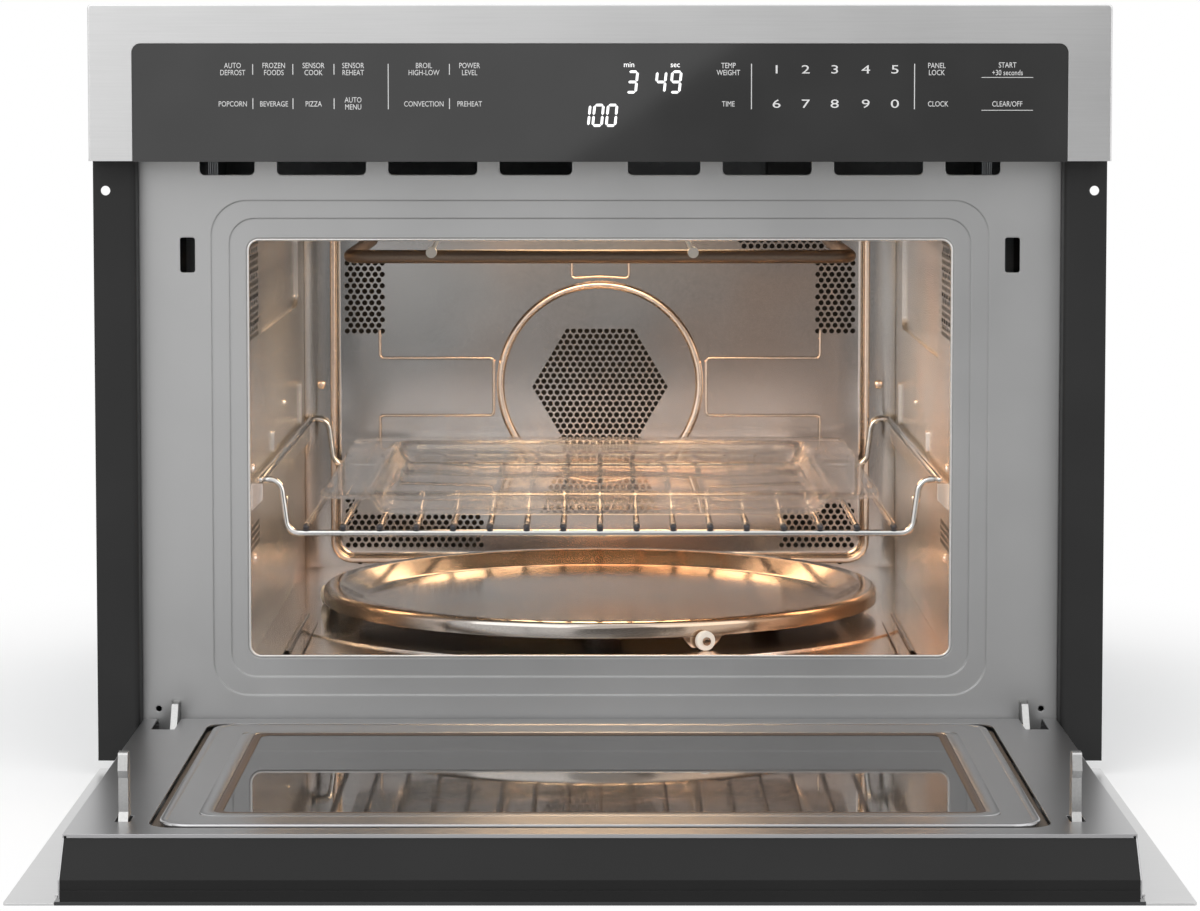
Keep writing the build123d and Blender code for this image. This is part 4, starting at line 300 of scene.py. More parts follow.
def cavity_steel(name, along=BACKWARDS, painted_brightness=1.0, warm=0.45, dull=0.0):
    """Polished stainless sheet of the cavity, with straw and orange clouds of painted warm
    reflection.
    """
    finish = Finish(name, (0.52, 0.51, 0.49), 0.16, metallic=1.0)
    streaks = finish.noise(700.0, 2.0, along)
    clouds = finish.noise(4.0, 3.0)
    # the orange clouds are painted warm reflection
    tint = finish.noise(3.2, 3.0).step(0.45, 0.68)
    # the brightness factor scales the colour as painted light: lit copies of one steel
    dark = scaled((0.46, 0.4508, 0.4416), painted_brightness)
    light = scaled((0.58, 0.5713, 0.5626), painted_brightness)
    plain = finish.blend(clouds.step(0.3, 0.7), dark, light)
    finish.feed("Base Color", finish.blend(tint * warm, plain, scaled((0.80, 0.50, 0.32), painted_brightness)))
    finish.feed("Roughness", 0.11 + dull + streaks * 0.07 + clouds * 0.06)
    finish.relief(streaks, 0.000015, 0.0008, 0.35)
    return finish


def within(value, low, high):
    """One between two limits, nought outside."""
    middle, half = (low + high) / 2, (high - low) / 2
    return (value - middle).apart().step(half - 0.05, half + 0.05, 1.0, 0.0)


def hole_rows(across, up, pitch, row, radius):
    """Round holes on a staggered lattice: the rows in line, and the rows half a pitch over.

    A hole is where the distance to the nearest crossing of the lattice is below its radius.
    """
    rows = []
    for shift in (0.0, 0.5):
        near_x = (across + shift * pitch).off(pitch)
        near_z = (up + shift * 2 * row).off(2 * row)
        rows.append(near_x.reach(near_z).step(radius - 0.12, radius + 0.12, 1.0, 0.0))
    return rows


def holed_patches(across, up, pitch, row, radius, windows):
    """Rectangles of whole holes.

    Each window gives its first and last hole across, its limits up, and a share.
    """
    in_line, half_over = hole_rows(across, up, pitch, row, radius)
    holes = None
    for first, last, low, high, share in windows:
        wide = within(across, first - pitch / 2, last + pitch / 2) * in_line
        found = wide.most(within(across, first, last) * half_over) * within(up, low, high) * share
        holes = found if holes is None else holes.most(found)
    return holes


def punched(finish, holes, metallic=1.0):
    """Darken a finish where holes go through the sheet: the holes are real, their near-black is
    painted shade of the space behind.
    """
    finish.feed("Base Color", finish.blend(holes, finish.fed("Base Color"), (0.004, 0.004, 0.004)))
    finish.feed("Roughness", finish.fed("Roughness") * (1 - holes) + holes * 0.9)
    finish.feed("Metallic", (1 - holes) * metallic)
    return finish


def side_wall_steel():
    """Cavity steel brightened as painted light, with holed patches near the mouth, high and low."""
    finish = cavity_steel("cavity_wall_steel", painted_brightness=1.6, warm=0.5, dull=0.07)
    _, y, z = finish.place()
    windows = [(0.0, 65.0, 126.2, 185.9, 1.0), (0.0, 65.0, -1.9, 13.9, 1.0)]
    holes = holed_patches(y - back(33.0) / MM, z - 128.0, 5.0, 4.0, 1.7, windows)
    return punched(finish, holes, 0.82)


def back_wall_steel():
    """Cavity steel with the fan's hexagon of holes, corner patches and two holes near the foot."""
    finish = cavity_steel("cavity_back_steel")
    x, _, z = finish.place()
    up = z - HOLES_Z
    flanks = (x.apart() + up.apart() * 0.5875).step(48.2, 48.4, 1.0, 0.0)
    hexagon = flanks * up.apart().step(41.4, 41.6, 1.0, 0.0)
    in_line, half_over = hole_rows(x, up, 4.7, 4.0, 1.85)
    field = in_line.most(half_over) * hexagon
    left, right = within(x, -300.0, 0.0), within(x, 0.0, 300.0)
    windows = [
        (-25.0, 0.0, -2.1, 50.3, 1.0),
        (-80.0, -10.0, 54.4, 66.5, right),
        (-95.0, 0.0, -155.1, -131.0, left),
        (-5.0, 0.0, -155.1, -118.9, left),
        (-50.0, 0.0, -155.1, -122.9, right),
    ]
    corners = holed_patches(x.apart() - 179.7, z - 232.4, 5.0, 4.03, 1.85, windows)
    foot = (x.apart() - 171.0).reach(z - 68.0).step(1.9, 2.1, 1.0, 0.0)
    return punched(finish, field.most(corners).most(foot))


def pane(name, colour, roughness, share, bend=1.5):
    """Clear glass: a share of it lets light through and bends it; its gloss has faint smears."""
    finish = Finish(name, colour, roughness, IOR=bend, Transmission_Weight=share)
    smears = finish.noise(11.0, 4.0)
    finish.feed("Roughness", roughness + (smears - 0.4).most(0.0) * 0.12)
    return finish


def rod_wire():
    """Bright wire that the weld has darkened within a few millimetres of its ends."""
    finish = brushed("rod_steel", (0.66, 0.61, 0.57), 0.14, EVEN, 0.04, 0.0)
    _, y, _ = finish.place()
    burnt = (y - back(250.0) / MM).apart().step(194.5, 196.5)
    finish.feed("Base Color", finish.blend(burnt, finish.fed("Base Color"), (0.10, 0.10, 0.11)))
    finish.feed("Roughness", 0.14 + burnt * 0.4)
    return finish


trim = brushed("stainless_trim", (0.60, 0.60, 0.60), 0.32, streak=0.03, spread=0.035)
zinc = galvanised()
plate_steel = front_steel()
cavity_wall = side_wall_steel()
# The floor's steel is brightened 1.45 times as painted light.
cavity_flat = cavity_steel("cavity_floor_steel", ACROSS, 1.45, 0.5)
satin_black = moulded("black_enamel", (0.018, 0.018, 0.018), 0.50, gloss=0.25)
dark_plastic = moulded("black_plastic", (0.009, 0.009, 0.009), 0.45, gloss=0.2)
pale_plastic = moulded("white_plastic", (0.78, 0.76, 0.70), 0.45)
ceramic = moulded("ceramic", (0.80, 0.78, 0.72), 0.35)
seal = moulded("brown_seal", (0.11, 0.085, 0.065), 0.7, 0.00008, 700.0)
gasket = moulded("gasket", (0.075, 0.05, 0.036), 0.6, 0.00008, 700.0)
panel_glass = moulded("touch_glass", (0.036, 0.036, 0.036), 0.05, 0.000001, 300.0, 0.0004)
door_glass = moulded("door_glass", (0.020, 0.021, 0.023), 0.06, 0.000002, 300.0, 0.0004)
window_pane = pane("window_glass", (0.16, 0.155, 0.15), 0.02, 0.9)
lamp_glass = pane("lamp_glass", (0.95, 0.94, 0.90), 0.05, 0.9)
# The dish's wall is thin and plain, so half of it is see-through beside the glass's bending
dish_glass = pane("dish_glass", (1.0, 1.0, 1.0), 0.0, 1.0, 1.25)
dish_glass.fix(Alpha=0.5)
door_steel = brushed("door_panel_steel", (0.41, 0.41, 0.415), 0.30, streak=0.03, spread=0.03)
chrome = brushed("chrome_wire", (0.66, 0.66, 0.65), 0.12, EVEN, 0.04, 0.0)
rod_steel = rod_wire()
# The pan's orange clouds are painted warm reflection, not a colour of the steel.
pan_warm_reflection = (0.6, (0.58, 0.36, 0.20))
pan_steel = brushed("pan_steel", (0.44, 0.41, 0.38), 0.13, EVEN, 0.04, 0.0004, pan_warm_reflection)
tube_tint = (0.5, (0.13, 0.09, 0.065))
oxide = brushed("heater_tube", (0.20, 0.15, 0.115), 0.48, EVEN, 0.10, 0.0, tube_tint)
# The beads' pale warm colour is a painted highlight, lighter than the wall's own steel.
bead_highlight = brushed("bead_painted_highlight_steel", (0.86, 0.72, 0.61), 0.22, EVEN, 0.03, 0.0)
# The rolled edge's pale colour is a painted highlight, lighter than the front plate's steel.
rolled_edge_highlight = brushed("rolled_edge_painted_highlight", (0.68, 0.665, 0.65), 0.32, EVEN, 0.03, 0.0)
plated = brushed("plated_steel", (0.44, 0.44, 0.435), 0.32, EVEN, 0.06, 0.0003)
fins = brushed("aluminium_fins", (0.70, 0.70, 0.71), 0.34, EVEN, 0.06, 0.0003)
copper = brushed("copper_winding", (0.55, 0.24, 0.10), 0.40, EVEN, 0.08, 0.0003)
board = moulded("board_green", (0.02, 0.13, 0.06), 0.4)
mica = moulded("mica", (0.42, 0.38, 0.32), 0.45)
display = moulded("display", (0.012, 0.012, 0.014), 0.12)
label_ink = moulded("label_ink", (0.72, 0.72, 0.72), 0.5, edge=0.0)
lit_white = moulded("lit_white", (0.9, 0.9, 0.9), 0.5, edge=0.0)
lit_white.fix(**{"Emission Color": WHITE, "Emission Strength": 0.6})


def dress(finish, *names):
    """Give CAD nodes a finish through the material slots that they have."""
    for name in names:
        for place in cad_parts[name].material_slots:
            place.material = finish.material


def both(name):
    """The names of the left and the right one of a pair."""
    return name + "_left", name + "_right"


dress(trim, "panel_trim", "door_outer_frame")
dress(zinc, "outer_casing", "rear_panel", "base_pan", "air_duct", "blower_housing")
dress(zinc, "convection_fan_housing", "waveguide")
dress(plate_steel, "front_plate")
dress(cavity_wall, *both("cavity_side"), "cavity_back")
dress(cavity_flat, "cavity_floor", "cavity_ceiling")
dress(satin_black, *both("mounting_flange"))
dress(dark_plastic, "door_top_cap", *both("interlock"), "cooling_impeller", "display_module")
dress(dark_plastic, "terminal_box")
dress(pale_plastic, "roller_1", "roller_2", "roller_3", "panel_carrier", "drive_coupler")
dress(ceramic, "heater_supports")
dress(seal, "door_window_seal", "door_choke_ring")
dress(panel_glass, "touch_glass")
dress(door_glass, "door_outer_glass")
dress(window_pane, "door_window_glass")
dress(lamp_glass, "oven_lamp")
dress(dish_glass, "glass_dish")
dress(door_steel, "door_body", "door_inner_panel", "door_inner_plate", "door_screen")
dress(chrome, "rack_frame", "rack_rods")
dress(pan_steel, "turntable_pan")
dress(oxide, "grill_heater", "ring_heater")
dress(plated, "casing_screws", *both("hinge_arm"), *both("hinge_leaf"), *both("latch_hook"))
dress(plated, "turntable_motor", "convection_motor", "cooling_motor", "convection_fan")
dress(fins, "magnetron")
dress(copper, "power_supply")
dress(board, "control_board")
dress(mica, "waveguide_cover")


def new_piece(name, points, faces, finish, body, node=None, smooth=True):
    """Make a mesh piece from points and faces; it rides on a body and may replace a node."""
    mesh = bpy.data.meshes.new(name)
    mesh.from_pydata(np.asarray(points).tolist(), [], faces)
    mesh.polygons.foreach_set("use_smooth", np.full(len(mesh.polygons), smooth))
    mesh.materials.append(finish.material)
    piece = bpy.data.objects.new(name, mesh)
    bpy.context.collection.objects.link(piece)
    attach(piece, body)
    if node:
        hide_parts(node)
    return piece


def unit(vectors):
    """Vectors divided by their lengths."""
    return vectors / np.linalg.norm(vectors, axis=-1, keepdims=True)


def placed(points):
    """Points from rows of (across, depth, height) in millimetres."""
    across, depth, height = np.asarray(points, float).T
    return np.column_stack([across * MM, back(depth), height * MM])


def upright(outline, depth):
    """Points of an outline (across, height), in millimetres, on the plane at a depth."""
    return placed(np.column_stack([outline[:, 0], np.full(len(outline), depth), outline[:, 1]]))


def level(outline, depth, height):
    """Points of an outline (across, behind a depth), in millimetres, at a height."""
    heights = np.full(len(outline), height)
    return placed(np.column_stack([outline[:, 0], depth + outline[:, 1], heights]))


def circle(radius, count):
    """Outline of a circle, going round anticlockwise."""
    turn = np.linspace(0, 2 * pi, count, endpoint=False)
    return np.stack([radius * np.cos(turn), radius * np.sin(turn)], axis=1)


def rounded_rectangle(half_x, half_y, radius, steps=10, middle=(0.0, 0.0)):
    """Points round a rectangle whose corners are quarter circles, anticlockwise."""
    turn = np.linspace(0, pi / 2, steps)
    corners = []
    for quarter, (side_x, side_y) in enumerate(((1, 1), (-1, 1), (-1, -1), (1, -1))):
        angle = turn + quarter * pi / 2
        x = side_x * (half_x - radius) + radius * np.cos(angle)
        y = side_y * (half_y - radius) + radius * np.sin(angle)
        corners.append(np.stack([x + middle[0], y + middle[1]], axis=1))
    return np.concatenate(corners)


def round_corners(points, radius, steps=10):
    """A path with each corner point turned into a circle's arc that touches both runs."""
    radii = np.broadcast_to(radius, len(points) - 2)
    path = [points[:1]]
    for before, corner, after, bend in zip(points, points[1:], points[2:], radii):
        toward, away = unit(before - corner), unit(after - corner)
        half = np.arccos(np.clip(toward @ away, -1, 1)) / 2
        centre = corner + unit(toward + away) * bend / np.sin(half)
        first = corner + toward * bend / np.tan(half) - centre
        last = corner + away * bend / np.tan(half) - centre
        sweep = np.arccos(np.clip(first @ last / bend**2, -1, 1))
        share = np.linspace(0, 1, steps)[:, None]
        arc = (np.sin((1 - share) * sweep) * first + np.sin(share * sweep) * last) / np.sin(sweep)
        path.append(centre + arc)
    path.append(points[-1:])
    return np.concatenate(path)


def carried(path, outline, closed=False, up=UP):
    """Grid of points: an outline carried along a path, square to it and without twist.

    A point of the outline (a, b) stands at path + a * side + b * up, where side and up
    are square to the path's direction and each other.
    """
    ahead = np.roll(path, -1, axis=0) - path
    behind = path - np.roll(path, 1, axis=0)
    if not closed:
        ahead[-1], behind[0] = behind[-1], ahead[0]
    along = unit(unit(ahead) + unit(behind))
    if abs(along[0] @ up) > 0.98:
        up = np.array((1.0, 0.0, 0.0))
    ups = np.empty_like(path)
    for index, direction in enumerate(along):
        up = unit(up - direction * (direction @ up))
        ups[index] = up
    sides = np.cross(along, ups)
    a, b = outline[None, :, :1], outline[None, :, 1:]
    return path[:, None, :] + a * sides[:, None, :] + b * ups[:, None, :]


def weave_faces(rows, columns, around=True):
    """Quads between neighbouring points of a grid kept row by row; around closes each row."""
    row = np.arange(rows - 1)[:, None] * columns
    column = np.arange(columns if around else columns - 1)[None, :]
    following = (column + 1) % columns
    corners = [row + column, row + following, row + columns + following, row + columns + column]
    return np.stack(corners, axis=-1).reshape(-1, 4).tolist()


def layered(rings, close_first=True, close_last=True):
    """Points and faces of a form made of rings of equal count, joined one to the next."""
    count = len(rings[0])
    faces = weave_faces(len(rings), count)
    if close_first:
        faces.append(list(range(count))[::-1])
    if close_last:
        faces.append(list(range((len(rings) - 1) * count, len(rings) * count)))
    return np.concatenate(rings), faces


def tube_parts(path, radius, count, domed=False):
    """Points and faces of a round wire along a path, its ends closed flat or by domes.

    A dome's rings narrow by the cosine of an angle and move out by its sine.
    """
    grid = carried(path, circle(radius, count))
    if domed:
        lean = np.linspace(pi / 2, 0, 4)[:-1, None, None]
        domes = []
        for end, before, ring in ((path[0], path[1], grid[0]), (path[-1], path[-2], grid[-1])):
            tip = unit(end - before) * radius
            domes.append(end + tip * np.sin(lean) + (ring - end) * np.cos(lean))
        grid = np.concatenate([domes[0], grid, domes[1][::-1]])
    return layered(list(grid))


def joined(parts):
    """One list of points and faces from several."""
    points, faces, start = [], [], 0
    for some, sides in parts:
        points.append(some)
        faces.extend([[corner + start for corner in face] for face in sides])
        start += len(some)
    return np.concatenate(points), faces


def turned(profile, centre, count):
    """Points and faces of a form turned round an upright axis from a profile of (radius, height).

    The profile starts and ends on the axis, where its ends close to one point.
    """
    turn = np.linspace(0, 2 * pi, count, endpoint=False)
    radius, height = profile[1:-1, 0], profile[1:-1, 1]
    x = centre[0] + radius[:, None] * np.cos(turn)
    y = centre[1] + radius[:, None] * np.sin(turn)
    z = np.broadcast_to(height[:, None], x.shape)
    grid = np.stack([x, y, z], axis=-1)
    poles = np.array([(*centre, profile[0, 1]), (*centre, profile[-1, 1])])
    points = np.concatenate([grid.reshape(-1, 3), poles])
    faces = weave_faces(len(radius), count)
    last = (len(radius) - 1) * count
    first_pole = len(points) - 2
    for step in range(count):
        following = (step + 1) % count
        faces.append([first_pole, following, step])
        faces.append([first_pole + 1, last + step, last + following])
    return points, faces


def pressed_bead(path, width, rise, out, closed=False):
    """Grid of a bead pressed in a sheet: flat topped, with feet that run into the sheet."""
    across = np.array((-1.0, -0.86, -0.72, -0.56, -0.3, 0.0, 0.3, 0.56, 0.72, 0.86, 1.0))
    height = np.array((-0.06, 0.10, 0.42, 0.82, 0.98, 1.0, 0.98, 0.82, 0.42, 0.10, -0.06))
    outline = np.stack([-across * width / 2, height * rise], axis=1) * MM
    grid = carried(path, outline, closed, out)
    if closed:
        grid = np.concatenate([grid, grid[:1]])
    return grid.reshape(-1, 3), weave_faces(len(grid), len(across), around=False)


def cavity_back_wall():
    """Rounded rectangle rings from the border to the sunk panel, closed by the panel's face.

    The step between them is an S: depth goes from the border's to the panel's by a
    cosine over its width.
    """
    # half width, half height, corner radius, depth, height of the middle
    sections = [
        (218.0, 136.0, 1.0, BORDER_DEPTH, 191.0),
        (200.0, 131.0, 12.0, BORDER_DEPTH, 192.5),
    ]
    shares = (1 - np.cos(np.linspace(0, pi, 12))) / 2
    for offset, share in zip(np.linspace(3.6, -2.8, 12), shares):
        depth = BORDER_DEPTH + (PANEL_DEPTH - BORDER_DEPTH) * share
        sections.append((186.4 + offset, 122.0 + offset, 12.0 + offset, depth, PANEL_Z))
    sections.append((168.0, 104.0, 8.0, PANEL_DEPTH, PANEL_Z))
    rings = []
    for half_x, half_z, radius, depth, middle in sections:
        rings.append(upright(rounded_rectangle(half_x, half_z, radius, 12, (0.0, middle)), depth))
    points, faces = layered(rings, close_first=False)
    wall = new_piece("cavity_back_wall", points, faces, back_wall_steel(), "chassis", "cavity_back")
    sheet = wall.modifiers.new("sheet", "SOLIDIFY")
    sheet.thickness = 0.8 * MM


def cavity_back_beads():
    """Beads pressed on the back wall: the fan's ring, the panel's frame, and lines that step."""
    fan_ring = upright(circle(70.75, 120) + (0.0, FAN_Z), PANEL_DEPTH)
    frame_edge = rounded_rectangle(189.4, 125.0, 14.0, 12, (0.0, PANEL_Z))
    beads = [
        pressed_bead(fan_ring, 5.8, 1.7, FRONT, True),
        pressed_bead(upright(frame_edge, BORDER_DEPTH + 0.2), 5.0, 1.3, FRONT, True),
    ]
    notch = np.array([(-20.0, 283.0), (-20.0, 270.2), (0.0, 271.4), (20.5, 270.2), (20.5, 283.0)])
    stepped = np.array([
        (156.5, 233.3), (156.5, 213.1), (75.6, 213.1),
        (75.6, 172.2), (156.5, 172.2), (156.5, 152.0),
    ])
    lines = ((notch, np.array((2.5, 20.0, 2.5))), (stepped * (-1, 1), 3.0), (stepped, 3.0))
    for line, bend in lines:
        path = round_corners(upright(line, PANEL_DEPTH), bend * MM, 8)
        beads.append(pressed_bead(path, 2.2, 0.8, FRONT))
    # pale warm colour: painted highlight on the beads
    pressed = new_piece("cavity_back_beads", *joined(beads), bead_highlight, "chassis")


def back_wall_studs():
    """Low domes beside the fan: rings round a place whose height follows a quarter circle."""
    radius, rise = 3.2 * MM, 1.6 * MM
    ring = np.insert(-circle(radius, 20), 1, 0.0, axis=1)
    parts = []
    for x in (-198.0, 198.0):
        place = placed([(x, BORDER_DEPTH, FAN_Z)])
        lean = np.linspace(0, pi / 2, 6)[:-1]
        rings = [place + ring * np.cos(angle) + FRONT * rise * np.sin(angle) for angle in lean]
        parts.append(layered(rings, close_first=False))
    # the studs share the beads' painted highlight
    new_piece("back_wall_studs", *joined(parts), bead_highlight, "chassis")


def mouth_edge():
    """The front plate's rolled edge: a thin wire carried round the mouth's rounded rectangle, its
    pale colour a painted highlight line.
    """
    path = upright(rounded_rectangle(208.5, 124.3, 6.6, 10, (0.0, 192.5)), 17.0)
    grid = carried(path, circle(0.75 * MM, 12), True, FRONT)
    grid = np.concatenate([grid, grid[:1]])
    faces = weave_faces(len(grid), 12)
    edge = new_piece("mouth_rolled_edge", grid.reshape(-1, 3), faces, rolled_edge_highlight, "chassis")


def cavity_floor_beads():
    """Long low beads beside the pan, pressed up from the cavity's floor."""
    floor_z = 64.9
    # place across, first and last depth, width, rise
    sizes = ((190.2, 54.0, 210.0, 4.4, 0.8), (180.4, 54.0, 172.0, 1.6, 0.5))
    beads = []
    for x, first, last, width, rise in sizes:
        for side in (-1, 1):
            path = placed([(side * x, depth, floor_z) for depth in np.linspace(first, last, 24)])
            beads.append(pressed_bead(path, width, rise, UP))
    # The floor beads wear the pan's steel, with its orange clouds of painted warm reflection.
    pressed = new_piece("cavity_floor_beads", *joined(beads), pan_steel, "chassis")


def turntable():
    """A pan turned from its section, a drive socket under it and a tab and pin for each roller.

    The section runs from the middle along the well, up the slope, over the rolled rim,
    down the skirt and back inside, a sheet's thickness away.
    """
    centre = (0.0, back(PAN_DEPTH))
    sheet, well_z = PAN_SHEET * MM, 74.5 * MM
    # corners of the section as (radius, 0, height), and how round the three inner ones are
    corners = np.array([
        (0.0, 0, 74.5), (153.5, 0, 74.5), (169.0, 0, 83.6),
        (PAN_RADIUS, 0, 83.6), (PAN_RADIUS, 0, 73.6),
    ])
    top = round_corners(corners * MM, np.array((7.0, 2.2, 4.2)) * MM, 9)
    ahead = unit(np.gradient(top, axis=0))
    under = top + np.column_stack([ahead[:, 2], ahead[:, 1], -ahead[:, 0]]) * sheet
    well = [(radius * MM, well_z) for radius in (0.0, 20.0, 60.0, 100.0)]
    around = np.concatenate([top[1:], under[:0:-1]])[:, [0, 2]]
    parts = [turned(np.concatenate([well, around, [(0.0, well_z - sheet)]]), centre, 180)]
    socket = ((15.2, 73.4), (15.2, 70.4), (18.0, 70.4), (18.0, 73.4))
    loops = [level(circle(radius, 40), PAN_DEPTH, height) for radius, height in socket]
    parts.append(layered(loops, False, False))
    for angle in np.radians(ROLLER_ANGLES):
        out = np.array((np.cos(angle), np.sin(angle), 0.0))
        middle = np.array((*centre, 71.2 * MM))
        parts.append(roller_tab(middle, out))
        # the pin and its head: both ends from the axis, radius and number of sides
        for first, last, radius, count in ((179.0, 187.2, 1.5, 16), (186.4, 187.2, 2.6, 20)):
            ends = middle + out * np.array([[first], [last]]) * MM
            parts.append(tube_parts(ends, radius * MM, count))
    pan = new_piece("turntable_dish", *joined(parts), pan_steel, "pan", "turntable_pan")
    pan.data.set_sharp_from_angle(angle=radians(40))


def roller_tab(middle, out):
    """A tapered tab that hangs from the skirt: its outline on the inner and on the outer side."""
    half = np.array([(6.4, -4.6), (7.6, -3.9), (10.5, -1.0), (13.0, 2.6)])
    shape = np.concatenate([half[::-1] * (-1, 1), half]) * MM
    flat = shape[:, :1] * np.cross(UP, out) + shape[:, 1:] * UP
    reach = (PAN_RADIUS - 0.1) * MM
    return layered([middle + out * (reach - depth) + flat for depth in (PAN_SHEET * MM, 0.0)])


def on_panel(pixel_x, pixel_y):
    """Place on the panel's glass of a point of the photograph, in metres across and up."""
    across = (pixel_x - GLASS_MIDDLE_X) / GLASS_SCALE * PRINT_SPREAD
    return across * MM, (GLASS_TOP_Z - (pixel_y - GLASS_TOP_Y) / GLASS_SCALE) * MM


def on_glass(across, up):
    """Points just in front of the panel's glass."""
    return np.column_stack([across, np.full(len(across), back(PRINT_DEPTH)), up])


def printed(words, middle_x, middle_z, tall, wide):
    """Flat letters on the panel's glass, centred on a place: the font's outline made a mesh."""
    letters = bpy.data.curves.new("letters", "FONT")
    letters.body = words
    letters.align_x = "CENTER"
    letters.align_y = "CENTER"
    letters.resolution_u = 3
    letters.size = tall / CAPITAL_SHARE
    made = bpy.data.objects.new("letters", letters)
    mesh = bpy.data.meshes.new_from_object(made)
    places = np.empty(len(mesh.vertices) * 3)
    mesh.vertices.foreach_get("co", places)
    places = places.reshape(-1, 3)
    faces = [list(face.vertices) for face in mesh.polygons]
    bpy.data.objects.remove(made)
    bpy.data.meshes.remove(mesh)
    bpy.data.curves.remove(letters)
    return on_glass(middle_x + places[:, 0] * wide, middle_z + places[:, 1]), faces


def bar(middle_x, middle_z, wide, tall):
    """A flat rectangle on the panel's glass, its size in millimetres."""
    corners = np.array([(-wide, -tall), (wide, -tall), (wide, tall), (-wide, tall)]) / 2 * MM
    return on_glass(middle_x + corners[:, 0], middle_z + corners[:, 1]), [[0, 1, 2, 3]]


# The segments of each digit, and the ends of each segment in halves of the digit's size
SEGMENTS = {"0": "abcdef", "1": "bc", "3": "abcdg", "4": "bcfg", "9": "abcdfg"}
SEGMENT_ENDS = {
    "a": ((-1, 1), (1, 1)), "b": ((1, 1), (1, 0)), "c": ((1, 0), (1, -1)), "d": ((-1, -1), (1, -1)),
    "e": ((-1, 0), (-1, -1)), "f": ((-1, 1), (-1, 0)), "g": ((-1, 0), (1, 0)),
}


def lit_digit(shape, left_x, middle_z):
    """A leaning seven segment digit: each lit segment is a bar with pointed ends."""
    wide, tall, stroke = 6.6 * MM, 13.4 * MM, 1.5 * MM
    lean, gap = 0.10, 0.15
    parts = []
    for segment in SEGMENTS[shape]:
        ends = np.array(SEGMENT_ENDS[segment]) * (wide / 2 - stroke / 2, tall / 2 - stroke / 2)
        along = unit(ends[1] - ends[0])
        across = np.array((-along[1], along[0])) * stroke / 2
        start, stop = ends[0] + along * stroke * gap, ends[1] - along * stroke * gap
        near, far = start + along * stroke / 2, stop - along * stroke / 2
        outline = np.array([start, near - across, far - across, stop, far + across, near + across])
        x = left_x + wide / 2 + outline[:, 0] + lean * outline[:, 1]
        parts.append((on_glass(x, middle_z + outline[:, 1]), [[0, 1, 2, 3, 4, 5]]))
    return parts


def panel_print():
    """Key labels, number keys, rules between them and the lit digits of the clock.

    Places are the photograph's pixels; heights and widths of rules are millimetres.
    """
    labels = (
        ("AUTO", 234, 66), ("DEFROST", 234, 73), ("FROZEN", 275, 66), ("FOODS", 275, 73),
        ("SENSOR", 314.5, 66), ("COOK", 314.5, 73), ("SENSOR", 354, 66), ("REHEAT", 354, 73),
        ("POPCORN", 234, 104), ("BEVERAGE", 275, 104), ("PIZZA", 314.5, 104),
        ("AUTO", 354, 100), ("MENU", 354, 107),
        ("BROIL", 424.5, 66), ("HIGH-LOW", 424.5, 73), ("POWER", 470, 66), ("LEVEL", 470, 73),
        ("CONVECTION", 424.5, 104), ("PREHEAT", 470, 104),
        ("TEMP", 728, 66), ("WEIGHT", 728, 73), ("TIME", 728, 104),
        ("PANEL", 935.5, 66), ("LOCK", 935.5, 73), ("CLOCK", 937, 104),
        ("START", 1006, 65.5), ("+30 seconds", 1006, 73), ("CLEAR/OFF", 1006, 104),
    )
    parts = [printed(words, *on_panel(x, y), 3.1 * MM, 0.80) for words, x, y in labels]
    for y, digits in ((70, "12345"), (104, "67890")):
        for x, digit in zip((776, 805, 834, 865, 894), digits):
            parts.append(printed(digit, *on_panel(x, y), 4.9 * MM, 1.55))
    long_rules = [(x, 86.5, 0.5, 26.362) for x in (389, 751, 913.5)]
    short_rules = [(x, y, 0.5, 6.2) for x in (254, 294, 335, 450) for y in (69.5, 103.5)]
    lines_under = [(1006, y, 30.0, 0.35) for y in (77.5, 110)]
    for x, y, wide, tall in long_rules + short_rules + lines_under:
        parts.append(bar(*on_panel(x, y), wide, tall))
    ink = new_piece("panel_labels", *joined(parts), label_ink, "chassis", smooth=False)
    lit = []
    digits = (("3", 626.5, 82), ("4", 655, 82), ("9", 670, 82))
    digits += (("1", 579.3, 115), ("0", 592.5, 115), ("0", 606, 115))
    for digit, x, y in digits:
        lit.extend(lit_digit(digit, *on_panel(x, y)))
    for words, x, y in (("min", 629, 65), ("sec", 675, 65)):
        lit.append(printed(words, *on_panel(x, y), 3.2 * MM, 0.95))
    clock = new_piece("panel_lit_digits", *joined(lit), lit_white, "chassis", smooth=False)


def wire_rack():
    """Side rails, dropped cross wires and rods: round wires along smooth paths."""
    def wire(path):
        return tube_parts(path, 2.0 * MM, 16, domed=True)

    rail_x, rail_z = 205.0, 170.3
    half = np.array([(188.7, 137.8), (193.0, rail_z), (rail_x, rail_z)])
    dropped = np.concatenate([half[::-1] * (-1, 1), half])
    rails = [wire(round_corners(upright(dropped, depth), 8 * MM)) for depth in (52.0, 448.0)]
    for x in (-rail_x, rail_x):
        rails.append(wire(placed([(x, depth, rail_z) for depth in (50.5, 449.5)])))
    rods = []
    for number in range(-8, 9):
        rods.append(wire(placed([(number * 22.2, depth, 141.5) for depth in (51.0, 449.0)])))
    sides = new_piece("rack_wires", *joined(rails), chrome, "rack", "rack_frame")
    middle = new_piece("rack_cross_rods", *joined(rods), rod_steel, "rack", "rack_rods")


def grill_tube():
    """The grill heater: one tube along its bent path, both ends up through the ceiling."""
    half = np.array([(157.8, 155, 300), (157.8, 400, 300), (157.8, 400, 335.4)])
    path = round_corners(placed(np.concatenate([half[::-1] * (-1, 1, 1), half])), 14 * MM, 12)
    points, faces = tube_parts(path, 4.25 * MM, 24)
    tube = new_piece("grill_tube", points, faces, oxide, "chassis", "grill_heater")


